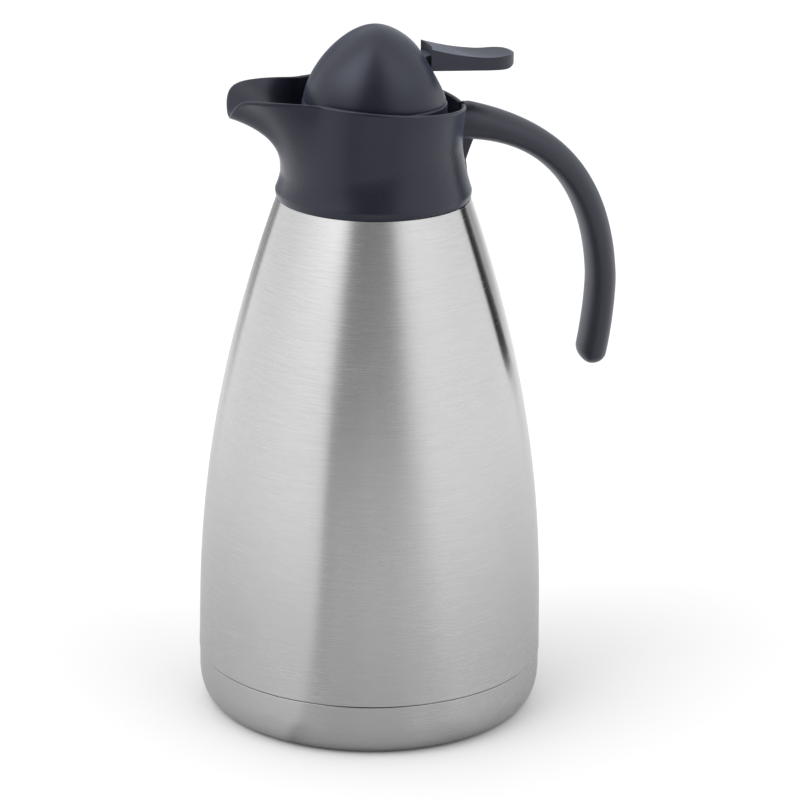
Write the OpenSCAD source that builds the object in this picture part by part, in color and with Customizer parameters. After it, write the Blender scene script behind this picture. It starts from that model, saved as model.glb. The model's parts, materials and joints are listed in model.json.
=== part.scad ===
// Insulated pouring jug with a lever-operated screw stopper.
// Millimetres, +Z up. The origin is the centre of the base on the table, on the jug's axis.
// The handle points along +X and the spout along -X.

/* [Jug body] */
// Radius of the steel body at the seam above the base
body_r = 71.9; // [71.5:0.1:72.5]
// Height of the seam between the base cup and the body
seam_z = 22.5; // [21.5:0.5:24]
// Radius of the body where the collar sits on it
shoulder_r = 39.5; // [39.3:0.1:40]
// Height of the ledge that carries the collar
shoulder_z = 217.8; // [217:0.1:218.5]
// Radius lost for each millimetre of height just below the ledge
shoulder_slope = 0.35; // [0.28:0.01:0.38]
// Thickness of the steel sheet
steel_t = 0.7; // [0.5:0.1:0.8]
// Width of the vacuum space between the body and the inner flask
jacket_gap = 5.6; // [5:0.2:6.4]

/* [Base] */
// Outer radius of the base cup
base_r = 71.6; // [71.2:0.1:71.8]
// Width of the visible groove between base cup and body
seam_gap = 0.4; // [0.3:0.1:0.6]
// Radial size of the rounding at the foot of the base cup
foot_round_r = 7; // [5:0.2:8]
// Vertical size of the same rounding
foot_round_z = 13.8; // [12:0.2:16]
// Height that the rubber foot ring lifts the steel off the table
foot_lift = 0.2; // [0.1:0.1:0.6]

/* [Neck] */
// Outer radius of the steel neck inside the collar
neck_r = 31; // [30.8:0.1:31.1]
// Inner radius of the mouth of the flask
mouth_r = 27; // [26.9:0.1:27.1]
// Height of the steel lip
lip_z = 232; // [231.8:0.1:232.2]

/* [Collar] */
// Radius of the bead around the bottom of the collar, at the back
collar_bead_r = 39.9; // [39.6:0.1:40.2]
// Height of that bead
collar_bead_z = 221; // [220.5:0.1:221.5]
// Outer radius of the collar's waist, at the back
waist_r = 36; // [35.8:0.1:36.3]
// Height of the waist, at the back
waist_z = 240; // [239:0.5:241]
// Radius of the round part of the rim
rim_r = 36.9; // [36.5:0.1:37.5]
// Height of the rim above the handle
rim_z = 254.1; // [253.5:0.1:255]
// Extra height of the rim towards the spout
rim_rise = 8.3; // [6:0.1:9]
// Wall thickness of the collar
collar_wall = 1.8; // [1.6:0.1:2]
// Height of the collar's inner floor
floor_z = 238; // [237.8:0.1:238.1]

/* [Spout] */
// Distance of the spout's centre from the jug's axis
spout_centre = 28; // [26:0.5:29]
// Length of the spout in front of its centre
spout_len = 33.6; // [32:0.2:34.4]
// Half the width of the spout at its centre
spout_half = 24; // [22:0.5:25]
// Depth of the notch in the pouring lip
lip_dip = 9.4; // [8:0.1:10]
// Depth that the notch is drawn back towards the axis
lip_recess = 2.2; // [1.6:0.2:2.6]

/* [Handle] */
// Reach of the grip's middle from the jug's axis
grip_x = 97.5; // [96:0.5:99]
// Height of the grip where it reaches furthest out
grip_z = 180.6; // [178:0.2:182]
// Half the width of the grip
grip_half = 10.3; // [9.5:0.1:11]
// Depth of the rounded outer side of the grip
grip_outer = 8.2; // [7.8:0.1:8.6]
// Depth of the flatter inner side of the grip
grip_inner = 3.7; // [3.3:0.1:4.1]

/* [Stopper] */
// Height of the top of the dome
dome_z = 288.9; // [288.5:0.1:289.5]
// Radius of the band around the foot of the dome
dome_r = 29.5; // [29.4:0.1:29.6]
// Wall thickness of the dome
dome_wall = 2; // [1.8:0.1:2.2]
// Outer radius of the plug below the threads
plug_r = 25.2; // [25:0.1:25.4]
// Inner radius of the plug
plug_bore = 22; // [21.8:0.1:22.2]
// Crest radius of the stopper's screw thread
thread_r = 27; // [26.9:0.1:27]

/* [Lever and valve] */
// Distance of the lever's pin from the jug's axis
pin_x = 16.5; // [16.4:0.1:16.6]
// Height of the lever's pin
pin_z = 271.5; // [271.4:0.1:271.6]
// Radius of the lever's pin
pin_r = 1.5; // [1.4:0.1:1.6]
// Reach of the thumb end of the lever from the jug's axis
lever_x = 57.5; // [55:0.5:59]
// Width of the lever
lever_w = 18; // [17:0.2:18.2]
// Radius of the valve rod
rod_r = 2.5; // [2.4:0.1:2.6]

/* [Hidden] */
$fn = 96;

charcoal = "#3d3e47";
steel = "#b9babd";
silicone = "#d8d8d2";
rubber = "#26262a";

// Body curve: its end tangents, then the curve itself from the seam up to the ledge.
body_lower_pull = 31;
body_upper_pull = 100;
body_draw_in = 1.1;
body_steps = 28;
body_curve = curve_path(
    [body_r, seam_z],
    [body_r - body_draw_in, seam_z + body_lower_pull],
    [shoulder_r + shoulder_slope * body_upper_pull, shoulder_z - body_upper_pull],
    [shoulder_r, shoulder_z], body_steps);
body_table = [for (p = body_curve) [p[1], p[0]]];

// Steel neck: the ledge's inner edge, the foot of the straight neck, and the rolled bead.
ledge_r = 37;
neck_z = 223.5;
neck_bead_r = 32.4;
neck_bead_z = [228.5, 231];

// Inner flask: bottom, corner radius, start and end of the shoulder.
flask_z = 28;
flask_corner = 12;
flask_shoulder_z = 190;
flask_neck_z = 214;
flask_shoulder_pull = [-3, 8];
flask_neck_pull = [0, -8];
flask_shoulder_steps = 12;
corner_steps = 8;

// Plate that closes the vacuum space.
vacuum_plate_z = 20;
plate_flange_r = 70.6;
plate_flange_z = [14, 34];
vent_r = 2;
seal_plug_r = 6;
seal_plug_h = 1.4;
getter_x = 35;
getter_r = 6;
getter_h = 3;
getter_wall = 1.5;
getter_floor = 2;

// Base cup and foot ring.
foot_ring_r = [54, 62];
foot_ring_h = 2.6;
base_panel_r = 52;
base_panel_z = 3;
foot_steps = 10;

// Collar inside: skirt, hub hole and the parts that clamp it to the neck.
skirt_r = 33.8;
skirt_cone_z = 224.5;
skirt_foot_r = 37.4;
skirt_foot_z = 219.3;
floor_under_z = 235.5;
hub_r = 30.4;
foot_inset = 1;
gasket_r = [27.6, 33.4];
lock_ring_r = [31.15, 33.6];
lock_ring_z = 225.5;
thread_play = 0.3;
neck_ring_r = [30.3, 33.2];
neck_ring_z = [239.6, 241];

// Collar outline: how the bead and waist swell towards the spout, and the curve shapes.
bead_swell = 0.3;
waist_swell = 2.2;
waist_drop = 11.5;
waist_power = 1.6;
rim_power = 1.3;
flare_k = 2;
rim_blend = 4;
dip_width = 9;
collar_cols = 80;
column_crowding = 0.4;
flare_crowding = 1.3;
bead_rows = 3;
waist_rows = 7;
flare_rows = 12;
inner_rows = 10;

// Tenon of the handle in the collar's back wall.
tenon_half = 5;
tenon_x = [31.8, 37.8];
tenon_z = [242, 251];
tenon_inner_r = 34.4;

// Socket that the collar leaves in the handle's root: first height, step and number of steps.
socket_z = 223;
socket_step = 1.6;
socket_steps = 16;
socket_r = 37.1;
socket_top = 262;

// Handle centre line: root, then the bend, then the free end.
root_x = 31;
root_z = 248.8;
grip_end = [94.6, 146.4];
root_pull = [33, -3.3];
bend_pull = [-4, 49];
grip_pull = [0.7, -8.4];
end_pull = [1.8, 9.4];
grip_steps = 26;
grip_end_steps = 12;
grip_tip_steps = 6;
grip_tip_angle = 84;
grip_sides = 28;
root_swell = 0.4;
root_swell_len = 0.45;
rib_w = 8;
rib_outline = [[35, 229.5], [36.9, 230], [38.2, 233.5], [39.4, 237.3], [41.5, 242], [41.5, 245], [35, 245]];

// Stopper heights, bottom to top.
plug_z = 205;
seal_groove_r = 23.8;
seal_groove_z = [219, 224];
thread_z = [232.6, 241.2];
thread_lead_in = 1;
window_w = 9;
window_z = [241.8, 247.9];
window_angles = [108:36:252];
flange_z = [248.5, 251];
guide_z = [240, 256];
guide_r = 6;
guide_play = 0.06;
rod_seal_r = 4.4;
rod_seal_z = 253.5;
rod_seal_fit = 0.05;
seal_fit = 0.06;
seal_margin = 0.2;
seal_lips = [0.8, 1.4, 2.3, 3.2, 3.8];
seal_waist = 0.4;
spigot_r = [26, 27.4];
spigot_z = 253;
screw_ring_r = 19.5;
screw_angles = [60, 180, 300];
screw_r = 1.25;
screw_len = 9;
screw_play = 0.3;
screw_fit = 0.05;
screw_head_r = 2.5;
screw_head_h = 1.6;
screw_slot = [4, 0.8, 0.8];

// Dome: foot of the curve, flat at the back, lever window.
dome_foot = [29, 258.2];
dome_b_r = 12.2;
dome_c_pull = [27.7, -17.3];
band_z = 257.8;
flat_point = [23.1, 268.6];
flat_slope = 0.54;
flat_skin = 0.5;
dome_steps = 20;
plate_window_half = 9.4;
plate_window_z = [268.2, 274.5];
neck_window_half = 6.2;
neck_window_z = 277.4;
ear_y = [5.6, 8];
ear_outline = [
    [12.4, 266.5], [19.4, 266.5], [19.4, 273.5], [16, 278], [14, 287.4], [9, 287.4], [12.4, 272]];
spring_top_z = 285.2;
spring_boss_r = 5.6;
post_r = 3.2;
post_h = 9;
post_rib = [9, 1.6, 5];
post_rib_z = 2.4;

// Lever: hub, fork and thumb plate.
hub_lever_r = 3.6;
hub_half = 5.2;
pin_fit = 0.02;
pin_play = 0.06;
fork_y = [3.2, 5.2];
fork_r = 1.6;
neck_outline = [[16.5, 274.9], [21, 276.4], [29, 275], [29, 272.6], [24, 271], [18, 268.3]];
plate_root_r = 22.9;
plate_z = [260, 290];
plate_edge = [lever_x + 0.1, 275.2];
plate_top_a = [[19, 280.3], [27, 277.9], [35, 275.7], [45, 275.4]];
plate_top_b = [[45, 275.4], [50, 275.4], [52, 276.3], plate_edge];
plate_under = [plate_edge - [0, 3], [lever_x - 1.6, 270.6], [lever_x - 12, 269.9], [19, 270.8]];
channel_top = 272.9;
channel_half = 7;
dish_r = 40;
dish_z = 274.2;
dish_back = 2;

// Valve: seat, disc and rod heights.
seat_r = 10;
seat_z = 208;
seat_t = 1.6;
seat_lip = 0.8;
seat_lip_r = [0.3, 0.8, 1.2];
valve_gap = 0.05;
seal_t = 2;
seal_inset = 0.5;
disc_r = 13.5;
disc_edge = 1.6;
disc_hub_r = 5.5;
disc_hub_z = [2.6, 6];
nut_r = 5;
nut_h = 2.4;
rod_z = [206, 277];
head_z = 273.4;
head_t = 2;
head_r = 6.2;
head_boss_r = 3.3;
head_boss_h = 3;
spring_r = 4.4;
spring_wire_r = 0.5;
spring_turns = 5;
spring_turn_steps = 14;
spring_sides = 8;
spring_fit = 0.1;

// Overshoot of a cut past the face it opens.
over = 1;

// Cubic curve between p0 and p3, as one point and as a path of n steps.
function curve(p0, p1, p2, p3, t) =
    pow(1 - t, 3) * p0 + 3 * pow(1 - t, 2) * t * p1 + 3 * (1 - t) * t * t * p2 + pow(t, 3) * p3;
function curve_path(p0, p1, p2, p3, n) = [for (i = [0:n]) curve(p0, p1, p2, p3, i / n)];

// A path moved by a vector, a path run backwards, and a stretch of an ellipse.
function moved(path, by) = [for (p = path) p + by];
function backwards(path) = [for (i = [len(path) - 1:-1:0]) path[i]];
function arc(centre, rx, ry, from, to, n) =
    [for (i = [0:n]) centre + [rx * cos(from + (to - from) * i / n), ry * sin(from + (to - from) * i / n)]];

// Radius of the steel body at height z.
function body_radius(z) = lookup(z, body_table);

// Triangles between neighbouring rings; closed joins the last ring to the first.
function skin(rings, sides, closed) =
    [for (i = [0:rings - (closed ? 1 : 2)], j = [0:sides - 1], half = [0, 1])
        let (k = (i + 1) % rings, m = (j + 1) % sides)
        half == 0
            ? [i * sides + j, k * sides + m, k * sides + j]
            : [i * sides + j, i * sides + m, k * sides + m]];

// A tube through a list of rings, with flat ends.
module tube(rings) {
    sides = len(rings[0]);
    last = (len(rings) - 1) * sides;
    ends = [[for (j = [0:sides - 1]) sides - 1 - j], [for (j = [0:sides - 1]) last + j]];
    polyhedron(
        points = [for (ring = rings, p = ring) p],
        faces = concat(skin(len(rings), sides, false), ends),
        convexity = 6);
}

module ring(inner, outer, z0, z1) {
    rotate_extrude()
        polygon([[inner, z0], [outer, z0], [outer, z1], [inner, z1]]);
}

// Outer wall: seam, curved body, ledge, neck with a rolled bead, lip turned in to the flask.
module outer_shell() {
    inner = [for (p = body_curve) if (p[1] > seam_z + steel_t) p - [steel_t, steel_t]];
    neck_in = neck_r - steel_t;
    color(steel)
        rotate_extrude($fn = 144)
            polygon(concat(
                body_curve,
                [[ledge_r, shoulder_z], [neck_r, neck_z], [neck_r, neck_bead_z[0]],
                 [neck_bead_r, neck_bead_z[0]], [neck_bead_r, neck_bead_z[1]], [neck_r, neck_bead_z[1]],
                 [neck_r, lip_z], [mouth_r + steel_t, lip_z], [mouth_r + steel_t, lip_z - steel_t],
                 [neck_in, lip_z - steel_t], [neck_in, neck_z], [ledge_r - steel_t, shoulder_z - steel_t]],
                backwards(inner),
                [[body_r - steel_t, seam_z]]));
}

// Base cup: rounded foot, a groove for the rubber ring and a raised centre panel.
module base_cup() {
    centre = [base_r - foot_round_r, foot_lift + foot_round_z];
    top = seam_z - seam_gap;
    color(steel)
        rotate_extrude($fn = 144)
            polygon(concat(
                [[0, base_panel_z], [base_panel_r, base_panel_z], [base_panel_r, foot_lift],
                 [foot_ring_r[0], foot_lift], [foot_ring_r[0], foot_ring_h],
                 [foot_ring_r[1], foot_ring_h], [foot_ring_r[1], foot_lift]],
                arc(centre, foot_round_r, foot_round_z, -90, 0, foot_steps),
                [[base_r, top], [base_r - steel_t, top]],
                arc(centre, foot_round_r - steel_t, foot_round_z - steel_t, 0, -90, foot_steps),
                [[foot_ring_r[1] + steel_t, foot_lift + steel_t],
                 [foot_ring_r[1] + steel_t, foot_ring_h + steel_t],
                 [foot_ring_r[0] - steel_t, foot_ring_h + steel_t],
                 [foot_ring_r[0] - steel_t, base_panel_z + steel_t], [0, base_panel_z + steel_t]]));
}

module foot_ring() {
    color(rubber)
        ring(foot_ring_r[0], foot_ring_r[1], 0, foot_ring_h);
}

// Plate welded inside the body to close the vacuum space, with the hole it is pumped through.
module vacuum_base() {
    inner = plate_flange_r - steel_t;
    color(steel)
        rotate_extrude()
            polygon([[vent_r, vacuum_plate_z], [inner, vacuum_plate_z], [inner, plate_flange_z[0]],
                     [plate_flange_r, plate_flange_z[0]], [plate_flange_r, plate_flange_z[1]],
                     [inner, plate_flange_z[1]], [inner, vacuum_plate_z + steel_t],
                     [vent_r, vacuum_plate_z + steel_t]]);
}

// Solder plug that seals the pumping hole from below.
module seal_plug() {
    color("silver") {
        translate([0, 0, vacuum_plate_z - seal_plug_h])
            cylinder(r = seal_plug_r, h = seal_plug_h);
        translate([0, 0, vacuum_plate_z])
            cylinder(r = vent_r, h = steel_t);
    }
}

// Getter pill in its tray, inside the vacuum space.
module getter() {
    color("dimgray")
        translate([getter_x, 0, vacuum_plate_z + steel_t])
            difference() {
                cylinder(r = getter_r, h = getter_h);
                translate([0, 0, getter_floor])
                    cylinder(r = getter_r - getter_wall, h = getter_h);
            }
}

// Inner flask: flat bottom, rounded corner, side parallel to the body, shoulder, straight neck.
module inner_flask() {
    inset = steel_t + jacket_gap;
    corner_z = flask_z + flask_corner;
    corner_r = body_radius(corner_z) - inset - flask_corner;
    side = [for (p = body_curve) if (p[1] > corner_z && p[1] < flask_shoulder_z) p - [inset, 0]];
    outer_neck = mouth_r + steel_t;
    shoulder_start = [body_radius(flask_shoulder_z) - inset, flask_shoulder_z];
    shoulder = curve_path(
        shoulder_start, shoulder_start + flask_shoulder_pull,
        [outer_neck, flask_neck_z] + flask_neck_pull, [outer_neck, flask_neck_z], flask_shoulder_steps);
    wall = concat(side, shoulder);
    color(steel)
        rotate_extrude($fn = 144)
            polygon(concat(
                [[0, flask_z]],
                arc([corner_r, corner_z], flask_corner, flask_corner, -90, 0, corner_steps),
                wall,
                [[outer_neck, lip_z], [mouth_r, lip_z]],
                backwards(moved(wall, [-steel_t, 0])),
                arc([corner_r, corner_z], flask_corner - steel_t, flask_corner - steel_t,
                    0, -90, corner_steps),
                [[0, flask_z + steel_t]]));
}

// Collar outline as a function of d, the angle away from the spout, and of height.
function towards_spout(d) = pow(cos(d / 2), 4);
function spout_reach(d) =
    let (a = pow(cos(d) / spout_len, 2) + pow(sin(d) / spout_half, 2),
         b = 2 * spout_centre * cos(d) / pow(spout_len, 2),
         c = pow(spout_centre / spout_len, 2) - 1)
    (b + sqrt(b * b - 4 * a * c)) / (2 * a);
function smooth_max(a, b, blend) = (a + b + sqrt(pow(a - b, 2) + pow(blend, 2))) / 2;
function lip_notch(d) = exp(-pow(d / dip_width, 2));
function rim_radius(d) = smooth_max(rim_r, spout_reach(d), rim_blend) - lip_recess * lip_notch(d);
function rim_height(d) = rim_z + rim_rise * pow(cos(d / 2), rim_power) - lip_dip * lip_notch(d);
function bead_radius(d) = collar_bead_r + bead_swell * towards_spout(d);
function waist_radius(d) = waist_r + waist_swell * towards_spout(d);
function waist_height(d) = waist_z - waist_drop * towards_spout(d);
function flare(s) = (exp(flare_k * s) - 1 - flare_k * s) / (exp(flare_k) - 1 - flare_k);
function collar_radius(d, z) =
    let (low = waist_height(d))
    z > low
        ? waist_radius(d) + (rim_radius(d) - waist_radius(d)) * flare((z - low) / (rim_height(d) - low))
        : waist_radius(d) + (bead_radius(d) - waist_radius(d))
            * pow((low - z) / (low - collar_bead_z), waist_power);

// Unit vectors along the wall and into it, and a point set in from the outer face.
function wall_slope(d, z) = (collar_radius(d, z) - collar_radius(d, z - 0.1)) / 0.1;
function along_wall(d, z) = [wall_slope(d, z), 1] / norm([wall_slope(d, z), 1]);
function into_wall(d, z) = [-1, wall_slope(d, z)] / norm([-1, wall_slope(d, z)]);
function set_in(d, z, depth) = [collar_radius(d, z), z] + depth * into_wall(d, z);

// One radial section of the collar, counter-clockwise: skirt, outer face, lip, bowl, floor, hub.
function collar_section(d) =
    let (low = waist_height(d),
         top = rim_height(d),
         start = floor_z - collar_wall * into_wall(d, floor_z)[1],
         bead = [bead_radius(d) - foot_inset, collar_bead_z])
    concat(
        [[skirt_foot_r, shoulder_z]],
        arc(bead, foot_inset, collar_bead_z - shoulder_z, -90, 0, bead_rows),
        [for (i = [1:waist_rows]) let (z = collar_bead_z + (low - collar_bead_z) * i / waist_rows)
            [collar_radius(d, z), z]],
        [for (i = [1:flare_rows]) let (z = top - (top - low) * pow(1 - i / flare_rows, flare_crowding))
            [collar_radius(d, z), z]],
        [set_in(d, top, collar_wall / 2) + collar_wall / 2 * along_wall(d, top)],
        [for (i = [0:inner_rows - 1]) set_in(d, top - (top - start) * i / inner_rows, collar_wall)],
        [[set_in(d, start, collar_wall)[0], floor_z], [hub_r, floor_z], [hub_r, floor_under_z],
         [skirt_r, floor_under_z], [skirt_r, skirt_cone_z], [skirt_foot_r, skirt_foot_z]]);

// Columns crowd together at the pouring lip, where the rim bends most.
function column_angle(i) = let (u = 2 * i / collar_cols - 1)
    180 * ((1 - column_crowding) * u + column_crowding * pow(u, 3));

module tenon_block() {
    translate([tenon_x[0], -tenon_half, tenon_z[0]])
        cube([tenon_x[1] - tenon_x[0], 2 * tenon_half, tenon_z[1] - tenon_z[0]]);
}

module collar() {
    sections = [for (i = [0:collar_cols - 1])
        let (d = column_angle(i))
        [for (p = collar_section(abs(d))) [-p[0] * cos(d), -p[0] * sin(d), p[1]]]];
    color(charcoal)
        difference() {
            polyhedron(
                points = [for (section = sections, p = section) p],
                faces = skin(collar_cols, len(sections[0]), true),
                convexity = 8);
            tenon_block();
        }
}

// Silicone ring squeezed between the steel lip and the collar's floor.
module collar_gasket() {
    color(silicone)
        ring(gasket_r[0], gasket_r[1], lip_z, floor_under_z);
}

// Ring welded into the skirt, hooked under the rolled bead of the neck.
module lock_ring() {
    color(charcoal)
        ring(lock_ring_r[0], lock_ring_r[1], lock_ring_z, neck_bead_z[0]);
}

// Threaded ring that the stopper screws into.
module neck_ring() {
    bore = thread_r + thread_play;
    color(charcoal)
        rotate_extrude()
            polygon([[bore, floor_under_z], [neck_ring_r[0], floor_under_z], [neck_ring_r[0], floor_z],
                     [neck_ring_r[1], floor_z], [neck_ring_r[1], neck_ring_z[0]],
                     [neck_ring_r[0], neck_ring_z[1]], [bore, neck_ring_z[1]]]);
}

// Handle centre line, from the collar out to the widest point and down to the free end.
root = [root_x, root_z];
grip = [grip_x, grip_z];
bend_a = [root, root + root_pull, grip + bend_pull, grip];
bend_b = [grip, grip + grip_pull, grip_end + end_pull, grip_end];
function bend_point(b, t) = curve(b[0], b[1], b[2], b[3], t);
function bend_side(b, t) =
    let (step = bend_point(b, t + 0.001) - bend_point(b, t - 0.001), along = step / norm(step))
    [-along[1], along[0]];

// D-shaped grip section: deep round side outwards, shallow side towards the jug.
function grip_ring(at, side, stretch, shrink) =
    [for (j = [0:grip_sides - 1])
        let (a = 360 * j / grip_sides,
             mid = (grip_outer - grip_inner) / 2,
             depth = cos(a) > 0 ? grip_outer * cos(a) : grip_inner * cos(a),
             out = (depth - mid) * stretch * shrink,
             p = at + out * side)
        [p[0], grip_half * sin(a) * shrink, p[1]]];

module handle() {
    tip = bend_point(bend_b, 1);
    tip_side = bend_side(bend_b, 1);
    tip_along = [tip_side[1], -tip_side[0]];
    tip_len = (grip_outer + grip_inner) / 2;
    rings = concat(
        [for (i = [0:grip_steps]) let (t = i / grip_steps)
            grip_ring(bend_point(bend_a, t), bend_side(bend_a, t),
                      1 + root_swell * pow(max(0, 1 - t / root_swell_len), 2), 1)],
        [for (i = [1:grip_end_steps]) let (t = i / grip_end_steps)
            grip_ring(bend_point(bend_b, t), bend_side(bend_b, t), 1, 1)],
        [for (i = [1:grip_tip_steps]) let (a = grip_tip_angle * i / grip_tip_steps)
            grip_ring(tip + tip_len * sin(a) * tip_along, tip_side, 1, cos(a))]);
    collar_back = [for (i = [0:socket_steps])
        let (z = socket_z + socket_step * i)
        [collar_radius(180, z), z]];
    color(charcoal) {
        difference() {
            union() {
                tube(rings);
                rotate([90, 0, 0])
                    linear_extrude(rib_w, center = true)
                        polygon(rib_outline);
            }
            rotate_extrude()
                polygon(concat([[0, socket_z]], collar_back, [[socket_r, socket_top], [0, socket_top]]));
        }
        difference() {
            tenon_block();
            translate([0, 0, tenon_z[0] - over])
                cylinder(r = tenon_inner_r, h = tenon_z[1] - tenon_z[0] + 2 * over);
        }
    }
}

// Plug of the stopper: hollow barrel, thread crests, pouring windows, flange and rod guide.
module stopper_plug() {
    bore = rod_r + guide_play;
    color(charcoal)
        difference() {
            rotate_extrude()
                polygon([[plug_bore, plug_z], [plug_r, plug_z], [plug_r, seal_groove_z[0]],
                         [seal_groove_r, seal_groove_z[0]], [seal_groove_r, seal_groove_z[1]],
                         [plug_r, seal_groove_z[1]], [plug_r, thread_z[0]],
                         [thread_r, thread_z[0] + thread_lead_in],
                         [thread_r, thread_z[1]], [plug_r, thread_z[1]], [plug_r, flange_z[0]],
                         [dome_r, flange_z[0]], [dome_r, flange_z[1]], [spigot_r[1], flange_z[1]],
                         [spigot_r[1], spigot_z], [spigot_r[0], spigot_z], [spigot_r[0], flange_z[1]],
                         [guide_r, flange_z[1]], [guide_r, guide_z[1]], [rod_seal_r, guide_z[1]],
                         [rod_seal_r, rod_seal_z], [bore, rod_seal_z], [bore, guide_z[0]],
                         [guide_r, guide_z[0]], [guide_r, flange_z[0]], [plug_bore, flange_z[0]]]);
            for (a = window_angles)
                rotate([0, 0, a])
                    translate([plug_bore - over, -window_w / 2, window_z[0]])
                        cube([thread_r - plug_bore + 2 * over, window_w, window_z[1] - window_z[0]]);
            for (a = screw_angles)
                rotate([0, 0, a])
                    translate([screw_ring_r, 0, flange_z[0] - over])
                        cylinder(r = screw_r + screw_play, h = spigot_z - flange_z[0] + over, $fn = 32);
        }
}

// Silicone ring with two lips that seals the plug in the steel neck.
module stopper_seal() {
    inner = seal_groove_r + seal_fit;
    z0 = seal_groove_z[0] + seal_margin;
    z1 = seal_groove_z[1] - seal_margin;
    lip = mouth_r - seal_fit;
    color(silicone)
        rotate_extrude()
            polygon([[inner, z0], [plug_r, z0], [lip, z0 + seal_lips[0]], [lip, z0 + seal_lips[1]],
                     [plug_r + seal_waist, z0 + seal_lips[2]], [lip, z0 + seal_lips[3]],
                     [lip, z0 + seal_lips[4]], [plug_r, z1], [inner, z1]]);
}

// Seat that closes the plug's lower end, with a raised lip around the opening.
module valve_seat() {
    top = seat_z + seat_lip;
    color(charcoal)
        rotate_extrude()
            polygon([[seat_r, plug_z - seat_t], [plug_r, plug_z - seat_t], [plug_r, plug_z],
                     [plug_bore, plug_z], [plug_bore, seat_z], [seat_r + seat_lip_r[2], seat_z],
                     [seat_r + seat_lip_r[1], top], [seat_r + seat_lip_r[0], top], [seat_r, seat_z]]);
}

module rod_seal() {
    color(silicone)
        ring(rod_r + rod_seal_fit, rod_seal_r, rod_seal_z, guide_z[1]);
}

// Dome outline, and the same outline set in by the wall thickness.
dome_a = [0, dome_z];
dome_b = [dome_b_r, dome_z];
dome_c = dome_a + dome_c_pull;
function dome_point(t) = curve(dome_a, dome_b, dome_c, dome_foot, t);
function dome_normal(t) =
    let (step = dome_point(t + 0.002) - dome_point(t - 0.002)) [step[1], -step[0]] / norm(step);
dome_outer = [for (i = [0:dome_steps]) dome_point(i / dome_steps)];
dome_inner = [for (i = [1:dome_steps]) dome_point(i / dome_steps) + dome_wall * dome_normal(i / dome_steps)];

module dome_solid() {
    rotate_extrude($fn = 144)
        polygon(concat(dome_outer, [[dome_r, band_z], [dome_r, flange_z[1]], [0, flange_z[1]]]));
}

module dome_hollow() {
    bottom = dome_r - dome_wall;
    rotate_extrude($fn = 144)
        polygon(concat([[0, dome_z - dome_wall]], dome_inner,
                       [[bottom, band_z], [bottom, flange_z[1] - over], [0, flange_z[1] - over]]));
}

// Space in front of the flat at the dome's back; depth moves it towards the axis.
module flat_cut(depth) {
    translate([flat_point[0], 0, flat_point[1]])
        rotate([0, -atan(flat_slope), 0])
            translate([-depth, -dome_r, -dome_r])
                cube(2 * dome_r);
}

// Opening for the lever: wide for the plate, narrow above it for the neck.
module lever_window() {
    x = pin_x - over;
    depth = dome_r - x;
    translate([x, -plate_window_half, plate_window_z[0]])
        cube([depth, 2 * plate_window_half, plate_window_z[1] - plate_window_z[0]]);
    translate([x, -neck_window_half, plate_window_z[0]])
        cube([depth, 2 * neck_window_half, neck_window_z - plate_window_z[0]]);
}

// Ears for the lever's pin, seat of the spring and posts for the screws, before trimming to the dome.
module dome_fittings() {
    for (side = [-1, 1])
        translate([0, side * (ear_y[0] + ear_y[1]) / 2, 0])
            rotate([90, 0, 0])
                linear_extrude(ear_y[1] - ear_y[0], center = true)
                    polygon(ear_outline);
    translate([0, 0, spring_top_z])
        cylinder(r = spring_boss_r, h = dome_z - spring_top_z);
    for (a = screw_angles)
        rotate([0, 0, a]) {
            translate([screw_ring_r, 0, flange_z[1]])
                cylinder(r = post_r, h = post_h);
            translate([screw_ring_r, -post_rib[1] / 2, flange_z[1] + post_rib_z])
                cube(post_rib);
        }
}

module dome_cap() {
    color(charcoal)
        difference() {
            union() {
                difference() {
                    dome_solid();
                    flat_cut(0);
                    difference() {
                        dome_hollow();
                        flat_cut(dome_wall);
                    }
                    lever_window();
                }
                intersection() {
                    difference() {
                        dome_solid();
                        flat_cut(flat_skin);
                    }
                    dome_fittings();
                }
            }
            translate([pin_x, 0, pin_z])
                rotate([90, 0, 0])
                    cylinder(r = pin_r + pin_fit, h = 3 * ear_y[1], center = true, $fn = 48);
            for (a = screw_angles)
                rotate([0, 0, a])
                    translate([screw_ring_r, 0, flange_z[1] - over])
                        cylinder(r = screw_r + screw_fit, h = screw_len, $fn = 32);
        }
}

// Three screws that hold the dome on the plug, from inside the plug.
module dome_screws() {
    color("silver")
        for (a = screw_angles)
            rotate([0, 0, a])
                translate([screw_ring_r, 0, flange_z[0]]) {
                    difference() {
                        translate([0, 0, -screw_head_h])
                            cylinder(r = screw_head_r, h = screw_head_h, $fn = 48);
                        translate([-screw_slot[0] / 2, -screw_slot[1] / 2, -screw_head_h - over])
                            cube([screw_slot[0], screw_slot[1], screw_slot[2] + over]);
                    }
                    cylinder(r = screw_r, h = screw_len, $fn = 32);
                }
}

module lever_pin() {
    color("silver")
        translate([pin_x, 0, pin_z])
            rotate([90, 0, 0])
                cylinder(r = pin_r, h = 2 * ear_y[1], center = true, $fn = 48);
}

// Side outline of the thumb plate: sloping top, slight rise at the thumb end, straight underside.
plate_outline = concat(
    curve_path(plate_top_a[0], plate_top_a[1], plate_top_a[2], plate_top_a[3], 10),
    curve_path(plate_top_b[0], plate_top_b[1], plate_top_b[2], plate_top_b[3], 8),
    plate_under);

// Round-ended strip seen from above, from the plate's foot to the top of its height.
module plate_blank(half, tip_x, top) {
    translate([0, 0, plate_z[0]])
        linear_extrude(top - plate_z[0])
            union() {
                translate([0, -half])
                    square([tip_x, 2 * half]);
                translate([tip_x, 0])
                    circle(r = half);
            }
}

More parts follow.
